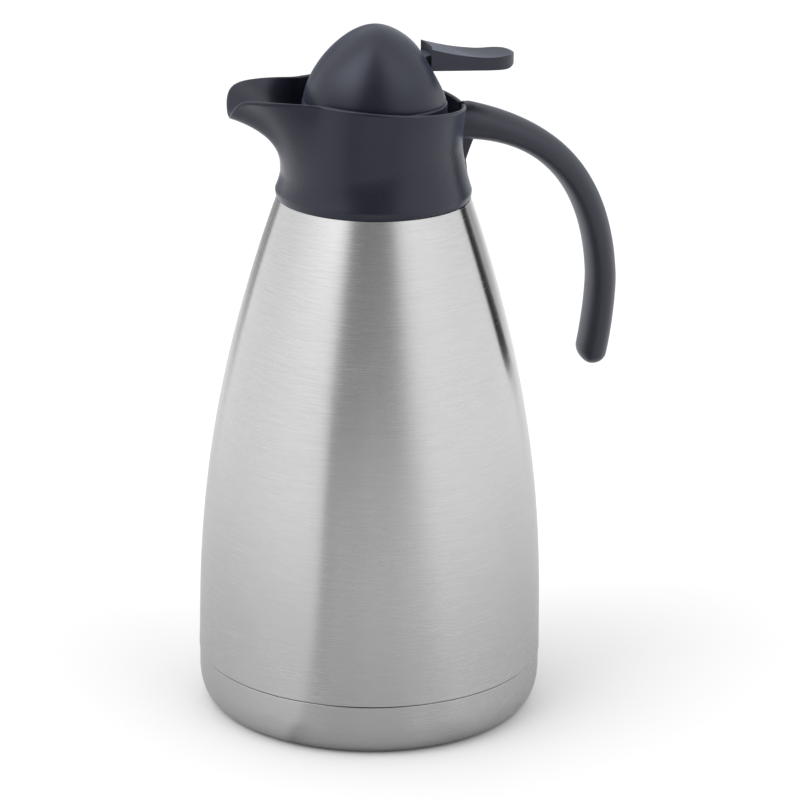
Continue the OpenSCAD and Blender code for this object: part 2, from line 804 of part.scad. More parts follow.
module thumb_plate() {
    tip_x = lever_x - lever_w / 2;
    difference() {
        intersection() {
            rotate([90, 0, 0])
                linear_extrude(lever_w, center = true)
                    polygon(plate_outline);
            plate_blank(lever_w / 2, tip_x, plate_z[1]);
        }
        plate_blank(channel_half, tip_x, channel_top);
        translate([tip_x - dish_back, 0, dish_z + dish_r])
            sphere(r = dish_r);
        translate([0, 0, plate_z[0]])
            cylinder(r = plate_root_r, h = plate_z[1] - plate_z[0]);
    }
}

// Hub on the pin, neck out to the plate, and the two prongs of the fork under the rod's cap.
module thumb_lever() {
    color(charcoal)
        difference() {
            union() {
                thumb_plate();
                rotate([90, 0, 0])
                    linear_extrude(2 * hub_half, center = true)
                        union() {
                            translate([pin_x, pin_z])
                                circle(r = hub_lever_r);
                            polygon(neck_outline);
                        }
                for (side = [-1, 1])
                    translate([0, side * (fork_y[0] + fork_y[1]) / 2, 0])
                        rotate([90, 0, 0])
                            linear_extrude(fork_y[1] - fork_y[0], center = true)
                                union() {
                                    translate([0, pin_z])
                                        circle(r = fork_r, $fn = 32);
                                    translate([0, pin_z - fork_r])
                                        square([pin_x, 2 * fork_r]);
                                }
            }
            translate([pin_x, 0, pin_z])
                rotate([90, 0, 0])
                    cylinder(r = pin_r + pin_play, h = 3 * hub_half, center = true, $fn = 48);
        }
}

module valve_rod() {
    color("silver")
        translate([0, 0, rod_z[0]])
            cylinder(r = rod_r, h = rod_z[1] - rod_z[0], $fn = 48);
}

// Cap on the rod: the fork lifts its flange and the spring presses on it.
module rod_head() {
    color(charcoal)
        difference() {
            union() {
                translate([0, 0, head_z])
                    cylinder(r = head_r, h = head_t);
                translate([0, 0, head_z + head_t])
                    cylinder(r = head_boss_r, h = head_boss_h);
            }
            translate([0, 0, head_z - over])
                cylinder(r = rod_r, h = rod_z[1] - head_z + over, $fn = 48);
        }
}

// Disc that backs the silicone seal, with a hub on the rod.
module valve_disc() {
    z = seat_z + seat_lip + valve_gap + seal_t;
    color(charcoal)
        rotate_extrude()
            polygon([[rod_r, z], [disc_r, z], [disc_r, z + disc_edge], [disc_hub_r, z + disc_hub_z[0]],
                     [disc_hub_r, z + disc_hub_z[1]], [rod_r, z + disc_hub_z[1]]]);
}

module valve_seal() {
    z = seat_z + seat_lip + valve_gap;
    color(silicone)
        ring(rod_r, disc_r - seal_inset, z, z + seal_t);
}

// Nut that clamps seal and disc on the rod.
module valve_nut() {
    z = seat_z + seat_lip + valve_gap;
    color("silver")
        difference() {
            translate([0, 0, z - nut_h])
                cylinder(r = nut_r, h = nut_h, $fn = 6);
            translate([0, 0, z - nut_h - over])
                cylinder(r = rod_r, h = nut_h + 2 * over, $fn = 48);
        }
}

// Coil spring between the rod's cap and the top of the dome.
module valve_spring() {
    foot = head_z + head_t + spring_wire_r + spring_fit;
    top = spring_top_z - spring_wire_r - spring_fit;
    steps = spring_turn_steps * spring_turns;
    color("silver")
        tube([for (i = [0:steps])
            let (a = 360 * spring_turns * i / steps, z = foot + (top - foot) * i / steps)
            [for (j = [0:spring_sides - 1])
                let (b = 360 * j / spring_sides, r = spring_r + spring_wire_r * cos(b))
                [r * cos(a), r * sin(a), z + spring_wire_r * sin(b)]]]);
}

outer_shell();
base_cup();
foot_ring();
vacuum_base();
seal_plug();
getter();
inner_flask();
collar();
collar_gasket();
lock_ring();
neck_ring();
handle();
stopper_plug();
stopper_seal();
valve_seat();
rod_seal();
dome_cap();
dome_screws();
lever_pin();
thumb_lever();
valve_rod();
rod_head();
valve_disc();
valve_seal();
valve_nut();
valve_spring();
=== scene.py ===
"""Looks of an insulated pouring jug with a lever stopper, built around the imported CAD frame.

Shapes are worked out in millimetres on the jug's own axes: +Z up, handle along +X, spout along -X.
"""
import json
import math
import bmesh
import bpy
from mathutils import Matrix, Vector

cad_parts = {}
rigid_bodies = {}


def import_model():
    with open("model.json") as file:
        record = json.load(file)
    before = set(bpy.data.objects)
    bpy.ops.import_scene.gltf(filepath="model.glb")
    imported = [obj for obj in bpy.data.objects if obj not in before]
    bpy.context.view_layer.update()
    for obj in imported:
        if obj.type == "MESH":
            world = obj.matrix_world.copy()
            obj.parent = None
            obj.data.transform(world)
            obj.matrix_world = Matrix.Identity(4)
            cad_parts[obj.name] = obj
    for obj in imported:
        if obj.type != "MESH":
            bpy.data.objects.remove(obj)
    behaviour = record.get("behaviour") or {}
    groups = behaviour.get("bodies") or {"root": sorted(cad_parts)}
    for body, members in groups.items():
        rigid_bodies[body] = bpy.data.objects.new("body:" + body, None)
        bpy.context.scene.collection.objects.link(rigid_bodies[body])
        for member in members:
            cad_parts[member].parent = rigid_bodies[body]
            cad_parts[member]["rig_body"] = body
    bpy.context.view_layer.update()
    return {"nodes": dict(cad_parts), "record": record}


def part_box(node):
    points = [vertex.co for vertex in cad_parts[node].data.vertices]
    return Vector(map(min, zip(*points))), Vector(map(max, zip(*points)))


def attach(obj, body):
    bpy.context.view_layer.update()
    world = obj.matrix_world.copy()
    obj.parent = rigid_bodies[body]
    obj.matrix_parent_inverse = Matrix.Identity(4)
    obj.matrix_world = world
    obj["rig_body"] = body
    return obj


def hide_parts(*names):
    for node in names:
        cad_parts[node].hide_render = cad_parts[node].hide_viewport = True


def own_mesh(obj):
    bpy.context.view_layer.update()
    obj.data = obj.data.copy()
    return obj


MM = 0.001
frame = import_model()


def span(node):
    """Lowest and highest corner of a CAD node, in millimetres."""
    low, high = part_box(node)
    return low / MM, high / MM


def heights(node):
    """Lowest and highest level of a CAD node, in millimetres."""
    low, high = span(node)
    return low.z, high.z


# ---------------------------------------------------------------- sizes, in millimetres
STEEL = 0.7

SEAM_Z, LIP_Z = heights("outer_shell")
SEAM_R = 71.9
SHOULDER = (39.5, 217.8)
BODY_CURVE = ((SEAM_R, SEAM_Z), (70.8, SEAM_Z + 31), (74.5, 117.8), SHOULDER)
WALL_STEPS, BODY_COLUMNS = 120, 256
LEDGE_R = 37
NECK_R, NECK_Z = 31, 223.5
NECK_BEAD_R, NECK_BEAD_Z = 32.4, (228.5, 231)
MOUTH_R = 27

CUP_LOW, CUP_HIGH = span("base_cup")
CUP_R = CUP_HIGH.x
FOOT_ROUND = (7, 13.8)
PANEL_R, PANEL_Z, PANEL_DROP, PANEL_STEP_R = 52, 3, 0.5, (26, 27.04)
FOOT_RING_R = (54, 62)
FOOT_RING_H = heights("foot_ring")[1]
RING_GROOVE_HALF, RING_GROOVE_Z = (1.1, 0.6), 0.6

BEAD_R, BEAD_Z = 39.9, 221
WAIST_R, WAIST_Z = 36, 240
RIM_R, RIM_Z, RIM_RISE = 36.9, 254.1, 8.3
WALL = 1.8
SPOUT_CENTRE, SPOUT_LENGTH, SPOUT_HALF = 28, 33.6, 24
LIP_DIP, LIP_RECESS, LIP_WIDTH = 9.4, 2.2, math.radians(9)
BEAD_SWELL, WAIST_SWELL, WAIST_DROP = 0.3, 2.2, 11.5
WAIST_POWER, RIM_POWER, FLARE, RIM_BLEND = 1.6, 1.3, 2, 4
RISE_CROWDING, FLOOR_BLEND = 1.3, 1.5
FLOOR_Z, FLOOR_UNDER_Z = 238, 235.5
HUB_R, SKIRT_R, SKIRT_FOOT_R = 30.4, 33.8, 37.4
SKIRT_CONE_Z, SKIRT_FOOT_Z = 224.5, 219.3

GRIP = (97.5, 180.6)
GRIP_BEND = ((31, 248.8), (64, 245.5), (93.5, 229.6), GRIP)
GRIP_END = (GRIP, (98.2, 172.2), (96.4, 155.8), (94.6, 146.4))
GRIP_HALF, GRIP_OUTER, GRIP_INNER = 10.3, 8.2, 3.7
ROOT_SWELL, ROOT_SWELL_END = 0.4, 0.45
RIB_HALF, RIB_TOP_Z = 4, 245
RIB_CURVE = ((36.9, 230), (38.4, 233.5), (39.2, 237.4), (41.6, 242.4))

DOME_Z = heights("dome_cap")[1]
SPRING_TOP = 285.2
DOME_R = 29.5
DOME_CURVE = ((0, DOME_Z), (12.2, DOME_Z), (27.7, DOME_Z - 17.3), (29, 258.2))
DOME_WALL, BAND_Z, FLANGE_Z = 2, 257.8, (248.5, 251)
FLAT_POINT, FLAT_SLOPE = (23.1, 268.6), 0.54
WINDOW_HALF, WINDOW_Z = (9.4, 6.2), (268.2, 274.5, 277.4)
EAR_Y = (5.6, 8)
EAR_SIDE = ((12.4, 266.5), (19.4, 266.5), (19.4, 273.5), (16, 277.6), (14.4, 279.5), (10, 282.2),
            (12.4, 272))
BOSS_R, BOSS_HEIGHT = 5.6, 1.5
POST_R, POST_TOP_Z, POST_HOLE_DEPTH = 3.2, 260, 8
POST_RIB_HALF, POST_RIB_SIDE = 0.8, ((2.6, 253.4), (8.6, 253.4), (8.2, 258.4), (2.6, 258.4))
SCREW_RING_R, SCREW_ANGLES = 19.5, (60, 180, 300)
SCREW_R, SCREW_LENGTH, SCREW_HEAD_R, SCREW_POINT = 1.25, 9, 2.5, 0.5
SLOT_HALF, SLOT_DEPTH = 0.4, 0.8
PIN, PIN_R = (16.5, 271.5), 1.5

LEVER_HALF = 9
LEVER_END_X = 57.5
LEVER_TOP = ((19, 280.3), (27, 277.9), (35, 275.7), (45, 275.4))
LEVER_THUMB = ((45, 275.4), (50, 275.4), (52, 276.3), (57.6, 275.2))
LEVER_UNDER_Z = (270.8, 269.9)
LEVER_ROOT_R = 22.9
CHANNEL_HALF, CHANNEL_Z, CHANNEL_OPEN_Z = 7, 272.9, 262
DISH_R, DISH_Z, DISH_BACK, DISH_BLEND = 40, 274.2, 2, 0.15
LEVER_HUB_R, HUB_HALF = 3.6, 5.2
NECK_HALF = 5.18
NECK_SIDE = ((PIN[0], 274.9), (21, 276.4), (29, 275), (29, 272.6), (24, 271), (18, 268.3))
PRONG_R, PRONG_Y = 1.6, (3.2, 5.18)


# ---------------------------------------------------------------- outlines and meshes
def bezier(corners, t):
    """Point of a cubic curve."""
    a, b = 1 - t, t
    weights = (a ** 3, 3 * a * a * b, 3 * a * b * b, b ** 3)
    return Vector([sum(w * c[k] for w, c in zip(weights, corners)) for k in range(len(corners[0]))])


def bezier_path(corners, steps):
    return [tuple(bezier(corners, i / steps)) for i in range(steps + 1)]


def arc(centre, radii, first, last, steps):
    """Points on an ellipse from one angle to another."""
    angles = [first + (last - first) * k / steps for k in range(steps + 1)]
    return [(centre[0] + radii[0] * math.cos(a), centre[1] + radii[1] * math.sin(a)) for a in angles]


def rounded(corners, arc_steps=6):
    """Closed outline with an arc at each corner that gives a radius as its third value."""
    outline = []
    for i, corner in enumerate(corners):
        here = Vector(corner[:2])
        if len(corner) == 2:
            outline.append(tuple(here))
            continue
        before = (Vector(corners[i - 1][:2]) - here).normalized()
        after = (Vector(corners[(i + 1) % len(corners)][:2]) - here).normalized()
        half = before.angle(after) / 2
        centre = here + (before + after).normalized() * corner[2] / math.sin(half)
        reach = corner[2] / math.tan(half)
        start = here + before * reach - centre
        turn = start.angle_signed(here + after * reach - centre)
        first = math.atan2(start.y, start.x)
        outline += arc(centre, (corner[2], corner[2]), first, first - turn, arc_steps)
    return outline


def section(inner, outer, low, high, edge, arc_steps=6):
    """Rectangle with rounded corners, as for the section of a ring."""
    corners = [(inner, low), (outer, low), (outer, high), (inner, high)]
    return rounded([(*corner, edge) for corner in corners], arc_steps)


def lathe(outline, columns=192, shape=None):
    """A closed outline of (radius, height) points turned about the jug's axis. Shape(radius, height, angle)
    gives the radius where it changes on the way round."""
    points, rows = [], []
    for radius, height in outline:
        if radius < 1e-6:
            rows.append([len(points)] * columns)
            points.append((0, 0, height))
        else:
            rows.append(range(len(points), len(points) + columns))
            for k in range(columns):
                angle = math.tau * k / columns
                here = shape(radius, height, angle) if shape else radius
                points.append((here * math.cos(angle), here * math.sin(angle), height))
    faces = []
    for i, row in enumerate(rows):
        above = rows[(i + 1) % len(rows)]
        for k in range(columns):
            m = (k + 1) % columns
            face = list(dict.fromkeys((row[k], row[m], above[m], above[k])))
            if len(face) > 2:
                faces.append(face)
    return points, faces


def loft(rings, closed=False, capped=True):
    """Quads between neighbouring rings of points. Closed joins the last ring to the first."""
    sides = len(rings[0])
    points = [p for ring in rings for p in ring]
    faces = []
    for i in range(len(rings) if closed else len(rings) - 1):
        here, after = i * sides, (i + 1) % len(rings) * sides
        for k in range(sides):
            m = (k + 1) % sides
            faces.append((here + k, here + m, after + m, after + k))
    if capped and not closed:
        faces.append(tuple(reversed(range(sides))))
        faces.append(tuple(range((len(rings) - 1) * sides, len(rings) * sides)))
    return points, faces


def placed(part, where):
    """The same part with each point moved by a function."""
    points, faces = part
    return [tuple(where(Vector(point))) for point in points], faces


def levels(radius, low, high, step=0.2):
    """Points one above the other, close enough to carry a screw thread."""
    count = max(1, round((high - low) / step))
    return [(radius, low + (high - low) * k / count) for k in range(count + 1)]


def prism(outline, y0, y1):
    """A side outline of (x, z) points given a width from y0 to y1."""
    return loft([[(x, y, z) for x, z in outline] for y in (y0, y1)])


def piece(name, parts, material, smooth=35):
    """One object from closed parts, in metres, with its faces turned outwards."""
    mesh = bpy.data.meshes.new(name)
    points, faces = [], []
    for part_points, part_faces in parts:
        start = len(points)
        points += [(x * MM, y * MM, z * MM) for x, y, z in part_points]
        faces += [tuple(start + v for v in face) for face in part_faces]
    mesh.from_pydata(points, [], faces)
    made = bpy.data.objects.new(name, mesh)
    bpy.context.scene.collection.objects.link(made)
    mesh.materials.append(material)
    tidy_mesh(made, smooth)
    return made


def tidy_mesh(made, smooth):
    """Outward normals, and smooth shading up to the given angle between faces."""
    work = bmesh.new()
    work.from_mesh(made.data)
    bmesh.ops.recalc_face_normals(work, faces=work.faces)
    work.to_mesh(made.data)
    work.free()
    made.data.shade_smooth()
    made.data.set_sharp_from_angle(angle=math.radians(smooth))


def apply_modifier(made, kind, **settings):
    """Adds one modifier, sets it and applies it to the mesh."""
    modifier = made.modifiers.new(kind.lower(), kind)
    for key, value in settings.items():
        setattr(modifier, key, value)
    graph = bpy.context.evaluated_depsgraph_get()
    made.data = bpy.data.meshes.new_from_object(made.evaluated_get(graph))
    made.modifiers.clear()


def bevelled(made, width, segments=3, angle=40):
    apply_modifier(made, "BEVEL", width=width * MM, segments=segments, limit_method="ANGLE",
                   angle_limit=math.radians(angle), use_clamp_overlap=True)
    tidy_mesh(made, angle)
    return made


def cut(made, tool):
    """Takes the tool's volume out of the object and deletes the tool."""
    apply_modifier(made, "BOOLEAN", operation="DIFFERENCE", object=tool, solver="EXACT")
    bpy.data.objects.remove(tool)


def join(made, others):
    """Adds the other objects' meshes to the first and deletes them."""
    work = bmesh.new()
    for one in (made, *others):
        work.from_mesh(one.data)
    work.to_mesh(made.data)
    work.free()
    for one in others:
        bpy.data.objects.remove(one)
    tidy_mesh(made, 35)
    return made


def stand_for(made, node):
    """Evens the shading across rounded edges, rides on the CAD node's body and stands for the node."""
    apply_modifier(made, "WEIGHTED_NORMAL", keep_sharp=True, weight=80)
    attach(made, frame["nodes"][node]["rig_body"])
    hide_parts(node)
    return made


# ---------------------------------------------------------------- materials
def feed(tree, node, inputs):
    """Sets a node's inputs: each is a constant or another node's output."""
    for key, value in inputs.items():
        if isinstance(value, bpy.types.NodeSocket):
            tree.links.new(value, node.inputs[key])
        else:
            node.inputs[key].default_value = value


def add(tree, kind, inputs=None, **settings):
    """One shader node with its settings and inputs."""
    node = tree.nodes.new("ShaderNode" + kind)
    for key, value in settings.items():
        setattr(node, key, value)
    feed(tree, node, inputs or {})
    return node


def grain(tree, scale, detail=2.0, roughness=0.5, stretch=(1, 1, 1)):
    """Noise in the object's own space, so that it stays on the piece as it moves."""
    place = add(tree, "TexCoord").outputs["Object"]
    mapped = add(tree, "Mapping", {"Vector": place, "Scale": stretch}).outputs["Vector"]
    noise = add(tree, "TexNoise", {"Vector": mapped, "Scale": scale, "Detail": detail,
                                   "Roughness": roughness})
    return noise.outputs["Fac"]


def spread(tree, value, low, high, start=0.3, end=0.7):
    """Maps a noise value between two limits."""
    node = add(tree, "MapRange", {"Value": value, "From Min": start, "From Max": end,
                                  "To Min": low, "To Max": high})
    return node.outputs["Result"]


def tinted(tree, value, colour, low, high):
    """Colour whose brightness runs from low to high times its own with a value from 0 to 1."""
    dark, light = ((*(c * share for c in colour), 1) for share in (low, high))
    return add(tree, "Mix", {0: value, 6: dark, 7: light}, data_type="RGBA").outputs[2]


def added(tree, a, b):
    return add(tree, "Math", {0: a, 1: b}, operation="ADD").outputs["Value"]


def multiplied(tree, a, b):
    return add(tree, "Math", {0: a, 1: b}, operation="MULTIPLY").outputs["Value"]


def bumped(tree, height, strength, distance, below=None):
    inputs = {"Height": height, "Strength": strength, "Distance": distance}
    if below:
        inputs["Normal"] = below
    return add(tree, "Bump", inputs).outputs["Normal"]


def shaded(name, constants):
    """A new material and its shader, with constants set on the shader's own sockets."""
    material = bpy.data.materials.new(name)
    material.use_nodes = True
    tree = material.node_tree
    shader = next(n for n in tree.nodes if n.type == "BSDF_PRINCIPLED")
    feed(tree, shader, constants)
    return material, tree, shader


def brushed_steel(name, colour, roughness, anisotropy):
    """Sheet steel brushed round the jug: long fine lines around it, and gloss drawn out up and down."""
    material, tree, shader = shaded(name, {"Metallic": 1.0, "Anisotropic": anisotropy,
                                           "Anisotropic Rotation": 0.25})
    fine = grain(tree, 1, 3, 0.65, (120, 120, 5200))
    broad = grain(tree, 1, 2, 0.5, (70, 70, 1900))
    cloud = grain(tree, 22, 3)
    lines = spread(tree, added(tree, fine, broad), 0, 1, 0.65, 1.35)
    rough = spread(tree, fine, roughness - 0.03, roughness + 0.03)
    feed(tree, shader, {
        "Base Color": tinted(tree, lines, colour, 0.9, 1),
        "Roughness": added(tree, rough, spread(tree, cloud, -0.015, 0.02)),
        "Tangent": add(tree, "Tangent", direction_type="RADIAL", axis="Z").outputs["Tangent"],
        "Normal": bumped(tree, lines, 0.06, 0.00001)})
    return material


def moulded_plastic(name, colour, roughness, grain_strength=0.25):
    """Charcoal polypropylene with a fine moulded grain, slightly uneven in tone and gloss."""
    material, tree, shader = shaded(name, {
        "IOR": 1.5, "Specular Tint": (0.8, 0.84, 1.0, 1),
        "Sheen Weight": 0.2, "Sheen Roughness": 0.4, "Sheen Tint": (0.55, 0.68, 1.0, 1)})
    fine = grain(tree, 2600, 2, 0.6)
    cloud = grain(tree, 45, 3)
    under = bumped(tree, grain(tree, 700), grain_strength * 0.5, 0.00005)
    rough = spread(tree, fine, roughness - 0.04, roughness + 0.06)
    feed(tree, shader, {
        "Base Color": tinted(tree, spread(tree, cloud, 0, 1), colour, 0.9, 1.12),
        "Roughness": added(tree, rough, spread(tree, cloud, -0.03, 0.03)),
        "Normal": bumped(tree, fine, grain_strength, 0.00003, under)})
    return material


def soft_silicone(name, colour):
    """Milky silicone: soft gloss, a little light under the surface, faint dust."""
    material, tree, shader = shaded(name, {"IOR": 1.41, "Subsurface Weight": 0.25,
                                           "Subsurface Radius": (0.002, 0.002, 0.0016)})
    cloud = grain(tree, 160, 3)
    feed(tree, shader, {
        "Base Color": tinted(tree, spread(tree, cloud, 0, 1), colour, 0.9, 1),
        "Roughness": spread(tree, cloud, 0.35, 0.5),
        "Normal": bumped(tree, grain(tree, 1500), 0.08, 0.00003)})
    return material


def moulded_rubber(name, colour):
    """Dull rubber with a coarse grain."""
    material, tree, shader = shaded(name, {"IOR": 1.5})
    fine = grain(tree, 1800, 3, 0.6)
    cloud = grain(tree, 90, 3)
    feed(tree, shader, {
        "Base Color": tinted(tree, spread(tree, cloud, 0, 1), colour, 1, 1.5),
        "Roughness": spread(tree, fine, 0.65, 0.82),
        "Normal": bumped(tree, fine, 0.35, 0.00006)})
    return material


def bright_steel(name, colour):
    """Turned and drawn fittings: small round marks, brighter than the sheet."""
    material, tree, shader = shaded(name, {"Metallic": 1.0})
    marks = grain(tree, 1, 2, 0.5, (300, 300, 5200))
    cloud = grain(tree, 120, 3)
    feed(tree, shader, {
        "Base Color": tinted(tree, spread(tree, cloud, 0, 1), colour, 0.88, 1),
        "Roughness": spread(tree, marks, 0.2, 0.34),
        "Normal": bumped(tree, marks, 0.06, 0.00001)})
    return material


MATERIALS = {
    "body_steel": brushed_steel("body_steel", (0.54, 0.54, 0.54), 0.25, 0.95),
    "flask_steel": brushed_steel("flask_steel", (0.6, 0.6, 0.61), 0.3, 0.4),
    "collar_plastic": moulded_plastic("collar_plastic", (0.0055, 0.0055, 0.011), 0.3),
    "handle_plastic": moulded_plastic("handle_plastic", (0.015, 0.0145, 0.019), 0.38),
    "dome_plastic": moulded_plastic("dome_plastic", (0.0075, 0.0075, 0.015), 0.33),
    "lever_plastic": moulded_plastic("lever_plastic", (0.018, 0.018, 0.024), 0.42),
    "stopper_plastic": moulded_plastic("stopper_plastic", (0.022, 0.022, 0.026), 0.45),
    "seal_silicone": soft_silicone("seal_silicone", (0.62, 0.62, 0.58)),
    "foot_rubber": moulded_rubber("foot_rubber", (0.02, 0.02, 0.021)),
    "fittings": bright_steel("fittings", (0.68, 0.68, 0.69)),
}
SLOTS = {part["node"]: part["material_slot"] for part in frame["record"]["subparts"]}


def finish_cad_nodes():
    """Gives every CAD node its slot's material and smooth shading."""
    for name, node in frame["nodes"].items():
        node.data.materials.clear()
        node.data.materials.append(MATERIALS[SLOTS[name]])
        node.data.shade_smooth()
        node.data.set_sharp_from_angle(angle=math.radians(30))


# ---------------------------------------------------------------- steel
def outer_shell():
    """Body of the jug: seam edge, curved wall, ledge under the collar, neck with its bead."""
    wall = bezier_path(BODY_CURVE, WALL_STEPS)
    inner = [(r - STEEL, z - STEEL) for r, z in reversed(wall) if z > SEAM_Z + 2 * STEEL]
    neck_in, (bead_low, bead_high) = NECK_R - STEEL, NECK_BEAD_Z
    neck = rounded([
        (LEDGE_R, SHOULDER[1]), (NECK_R, NECK_Z, 1.2), (NECK_R, bead_low, 0.2),
        (NECK_BEAD_R, bead_low, 1.1), (NECK_BEAD_R, bead_high, 1.1), (NECK_R, bead_high, 0.2),
        (NECK_R, LIP_Z, 0.4),
        (MOUTH_R + STEEL, LIP_Z), (MOUTH_R + STEEL, LIP_Z - STEEL), (neck_in, LIP_Z - STEEL),
        (neck_in, NECK_Z), (LEDGE_R - STEEL, SHOULDER[1] - STEEL)], 4)
    edge = 0.2
    seam = [(SEAM_R - STEEL, SEAM_Z + edge), (SEAM_R - STEEL + edge, SEAM_Z), (SEAM_R - edge, SEAM_Z),
            (SEAM_R - 0.3 * edge, SEAM_Z + 0.3 * edge), (SEAM_R, SEAM_Z + edge)]
    made = piece("shell_body", [lathe(wall[1:] + neck + inner + seam, BODY_COLUMNS)],
                 MATERIALS["body_steel"], 50)
    return stand_for(made, "outer_shell")


def base_cup():
    """Base: straight top edge, long rounding at the foot, groove for the rubber ring, stamped centre."""
    centre = (CUP_R - FOOT_ROUND[0], CUP_LOW.z + FOOT_ROUND[1])

    def foot(inset):
        return arc(centre, (FOOT_ROUND[0] - inset, FOOT_ROUND[1] - inset), -math.pi / 2, 0, 28)

    low, high, (ring_in, ring_out) = CUP_LOW.z, CUP_HIGH.z, FOOT_RING_R
    under = rounded([
        (0, PANEL_Z), (PANEL_STEP_R[0], PANEL_Z, 6), (PANEL_STEP_R[1], PANEL_Z - PANEL_DROP, 6),
        (PANEL_R, PANEL_Z - PANEL_DROP, 0.5), (PANEL_R, low, 0.5), (ring_in, low, 0.4),
        (ring_in, FOOT_RING_H), (ring_out, FOOT_RING_H), (ring_out, low, 0.4),
        (centre[0] - 0.05, low)], 4)[:-1]
    top = [(CUP_R, high - 0.3), (CUP_R - 0.04, high - 0.1), (CUP_R - 0.15, high), (CUP_R - STEEL, high)]
    inside = foot(STEEL)[::-1] + [
        (ring_out + STEEL, low + STEEL), (ring_out + STEEL, FOOT_RING_H + STEEL),
        (ring_in - STEEL, FOOT_RING_H + STEEL), (ring_in - STEEL, PANEL_Z + STEEL), (0, PANEL_Z + STEEL)]
    made = piece("base_cup_body", [lathe(under + foot(0) + top + inside, BODY_COLUMNS)],
                 MATERIALS["body_steel"], 50)
    return stand_for(made, "base_cup")


def foot_ring():
    """Rubber ring in the groove, with rounded edges and a shallow groove in its face."""
    inner, outer = FOOT_RING_R[0] + 0.05, FOOT_RING_R[1] - 0.05
    middle, (wide, narrow) = (inner + outer) / 2, RING_GROOVE_HALF
    outline = rounded([
        (inner, FOOT_RING_H), (inner, 0, 0.8), (middle - wide, 0, 0.3),
        (middle - narrow, RING_GROOVE_Z, 0.2), (middle + narrow, RING_GROOVE_Z, 0.2),
        (middle + wide, 0, 0.3), (outer, 0, 0.8), (outer, FOOT_RING_H)])
    made = piece("foot_ring_body", [lathe(outline)], MATERIALS["foot_rubber"])
    return stand_for(made, "foot_ring")


# ---------------------------------------------------------------- collar
def towards_spout(d):
    return math.cos(d / 2) ** 4


def spout_reach(d):
    """Distance from the jug's axis to the spout's elliptical outline, d radians away from the spout."""
    a = (math.cos(d) / SPOUT_LENGTH) ** 2 + (math.sin(d) / SPOUT_HALF) ** 2
    b = 2 * SPOUT_CENTRE * math.cos(d) / SPOUT_LENGTH ** 2
    c = (SPOUT_CENTRE / SPOUT_LENGTH) ** 2 - 1
    return (b + math.sqrt(b * b - 4 * a * c)) / (2 * a)


def lip_notch(d):
    """How much of the notch in the pouring lip is felt at angle d."""
    return math.exp(-(d / LIP_WIDTH) ** 2)


def rim_radius(d):
    reach = spout_reach(d)
    blend = math.sqrt((RIM_R - reach) ** 2 + RIM_BLEND ** 2)
    return (RIM_R + reach + blend) / 2 - LIP_RECESS * lip_notch(d)


def rim_height(d):
    rise = RIM_RISE * max(0, math.cos(d / 2)) ** RIM_POWER
    return RIM_Z + rise - LIP_DIP * lip_notch(d)


def waist_height(d):
    return WAIST_Z - WAIST_DROP * towards_spout(d)


def collar_radius(d, z):
    """Radius of the collar's outer face at angle d from the spout and height z."""
    low = waist_height(d)
    waist = WAIST_R + WAIST_SWELL * towards_spout(d)
    if z > low:
        s = FLARE * (z - low) / (rim_height(d) - low)
        return waist + (rim_radius(d) - waist) * (math.exp(s) - 1 - s) / (math.exp(FLARE) - 1 - FLARE)
    bead = BEAD_R + BEAD_SWELL * towards_spout(d)
    return waist + (bead - waist) * ((low - z) / (low - BEAD_Z)) ** WAIST_POWER


def set_in(d, z, depth):
    """Point of the collar's face moved into the wall, with the unit vector along the wall."""
    slope = (collar_radius(d, z) - collar_radius(d, z - 0.1)) / 0.1
    along = Vector((slope, 1)).normalized()
    return Vector((collar_radius(d, z), z)) + depth * Vector((-along.y, along.x)), along


def collar_section(d):
    """Closed radial section of the collar at angle d from the spout, as (radius, height) points."""
    low, top = waist_height(d), rim_height(d)
    bead = BEAD_R + BEAD_SWELL * towards_spout(d)
    bead_steps, waist_steps, rise_steps, edge_steps, corner_steps = 8, 24, 40, 10, 6
    points = [(SKIRT_FOOT_R, SHOULDER[1])]
    points += arc((bead - 1, BEAD_Z), (1, BEAD_Z - SHOULDER[1]), -math.pi / 2, 0, bead_steps)
    for k in range(1, waist_steps + 1):
        z = BEAD_Z + (low - BEAD_Z) * k / waist_steps
        points.append((collar_radius(d, z), z))
    for k in range(1, rise_steps + 1):
        z = top - (top - low) * (1 - k / rise_steps) ** RISE_CROWDING
        points.append((collar_radius(d, z), z))
    middle, along = set_in(d, top, WALL / 2)
    outward = Vector((along.y, -along.x))
    for k in range(1, edge_steps):
        angle = math.pi * k / edge_steps
        points.append(tuple(middle + WALL / 2 * (outward * math.cos(angle) + along * math.sin(angle))))
    start = FLOOR_Z - WALL * set_in(d, FLOOR_Z, 0)[1].x
    foot = set_in(d, start, WALL)[0].x
    for k in range(rise_steps):
        point = set_in(d, top - (top - start) * k / rise_steps, WALL)[0]
        if point.y > FLOOR_Z + FLOOR_BLEND:
            points.append(tuple(point))
    above = points[-1]
    for k in range(1, corner_steps + 1):
        t = k / corner_steps
        points.append(((1 - t) ** 2 * above[0] + 2 * t * (1 - t) * foot + t * t * (foot - FLOOR_BLEND),
                       (1 - t) ** 2 * above[1] + (1 - (1 - t) ** 2) * FLOOR_Z))
    points += [(HUB_R + 0.3, FLOOR_Z), (HUB_R, FLOOR_Z - 0.3), (HUB_R, FLOOR_UNDER_Z),
               (SKIRT_R, FLOOR_UNDER_Z), (SKIRT_R, SKIRT_CONE_Z), (SKIRT_FOOT_R, SKIRT_FOOT_Z)]
    return points


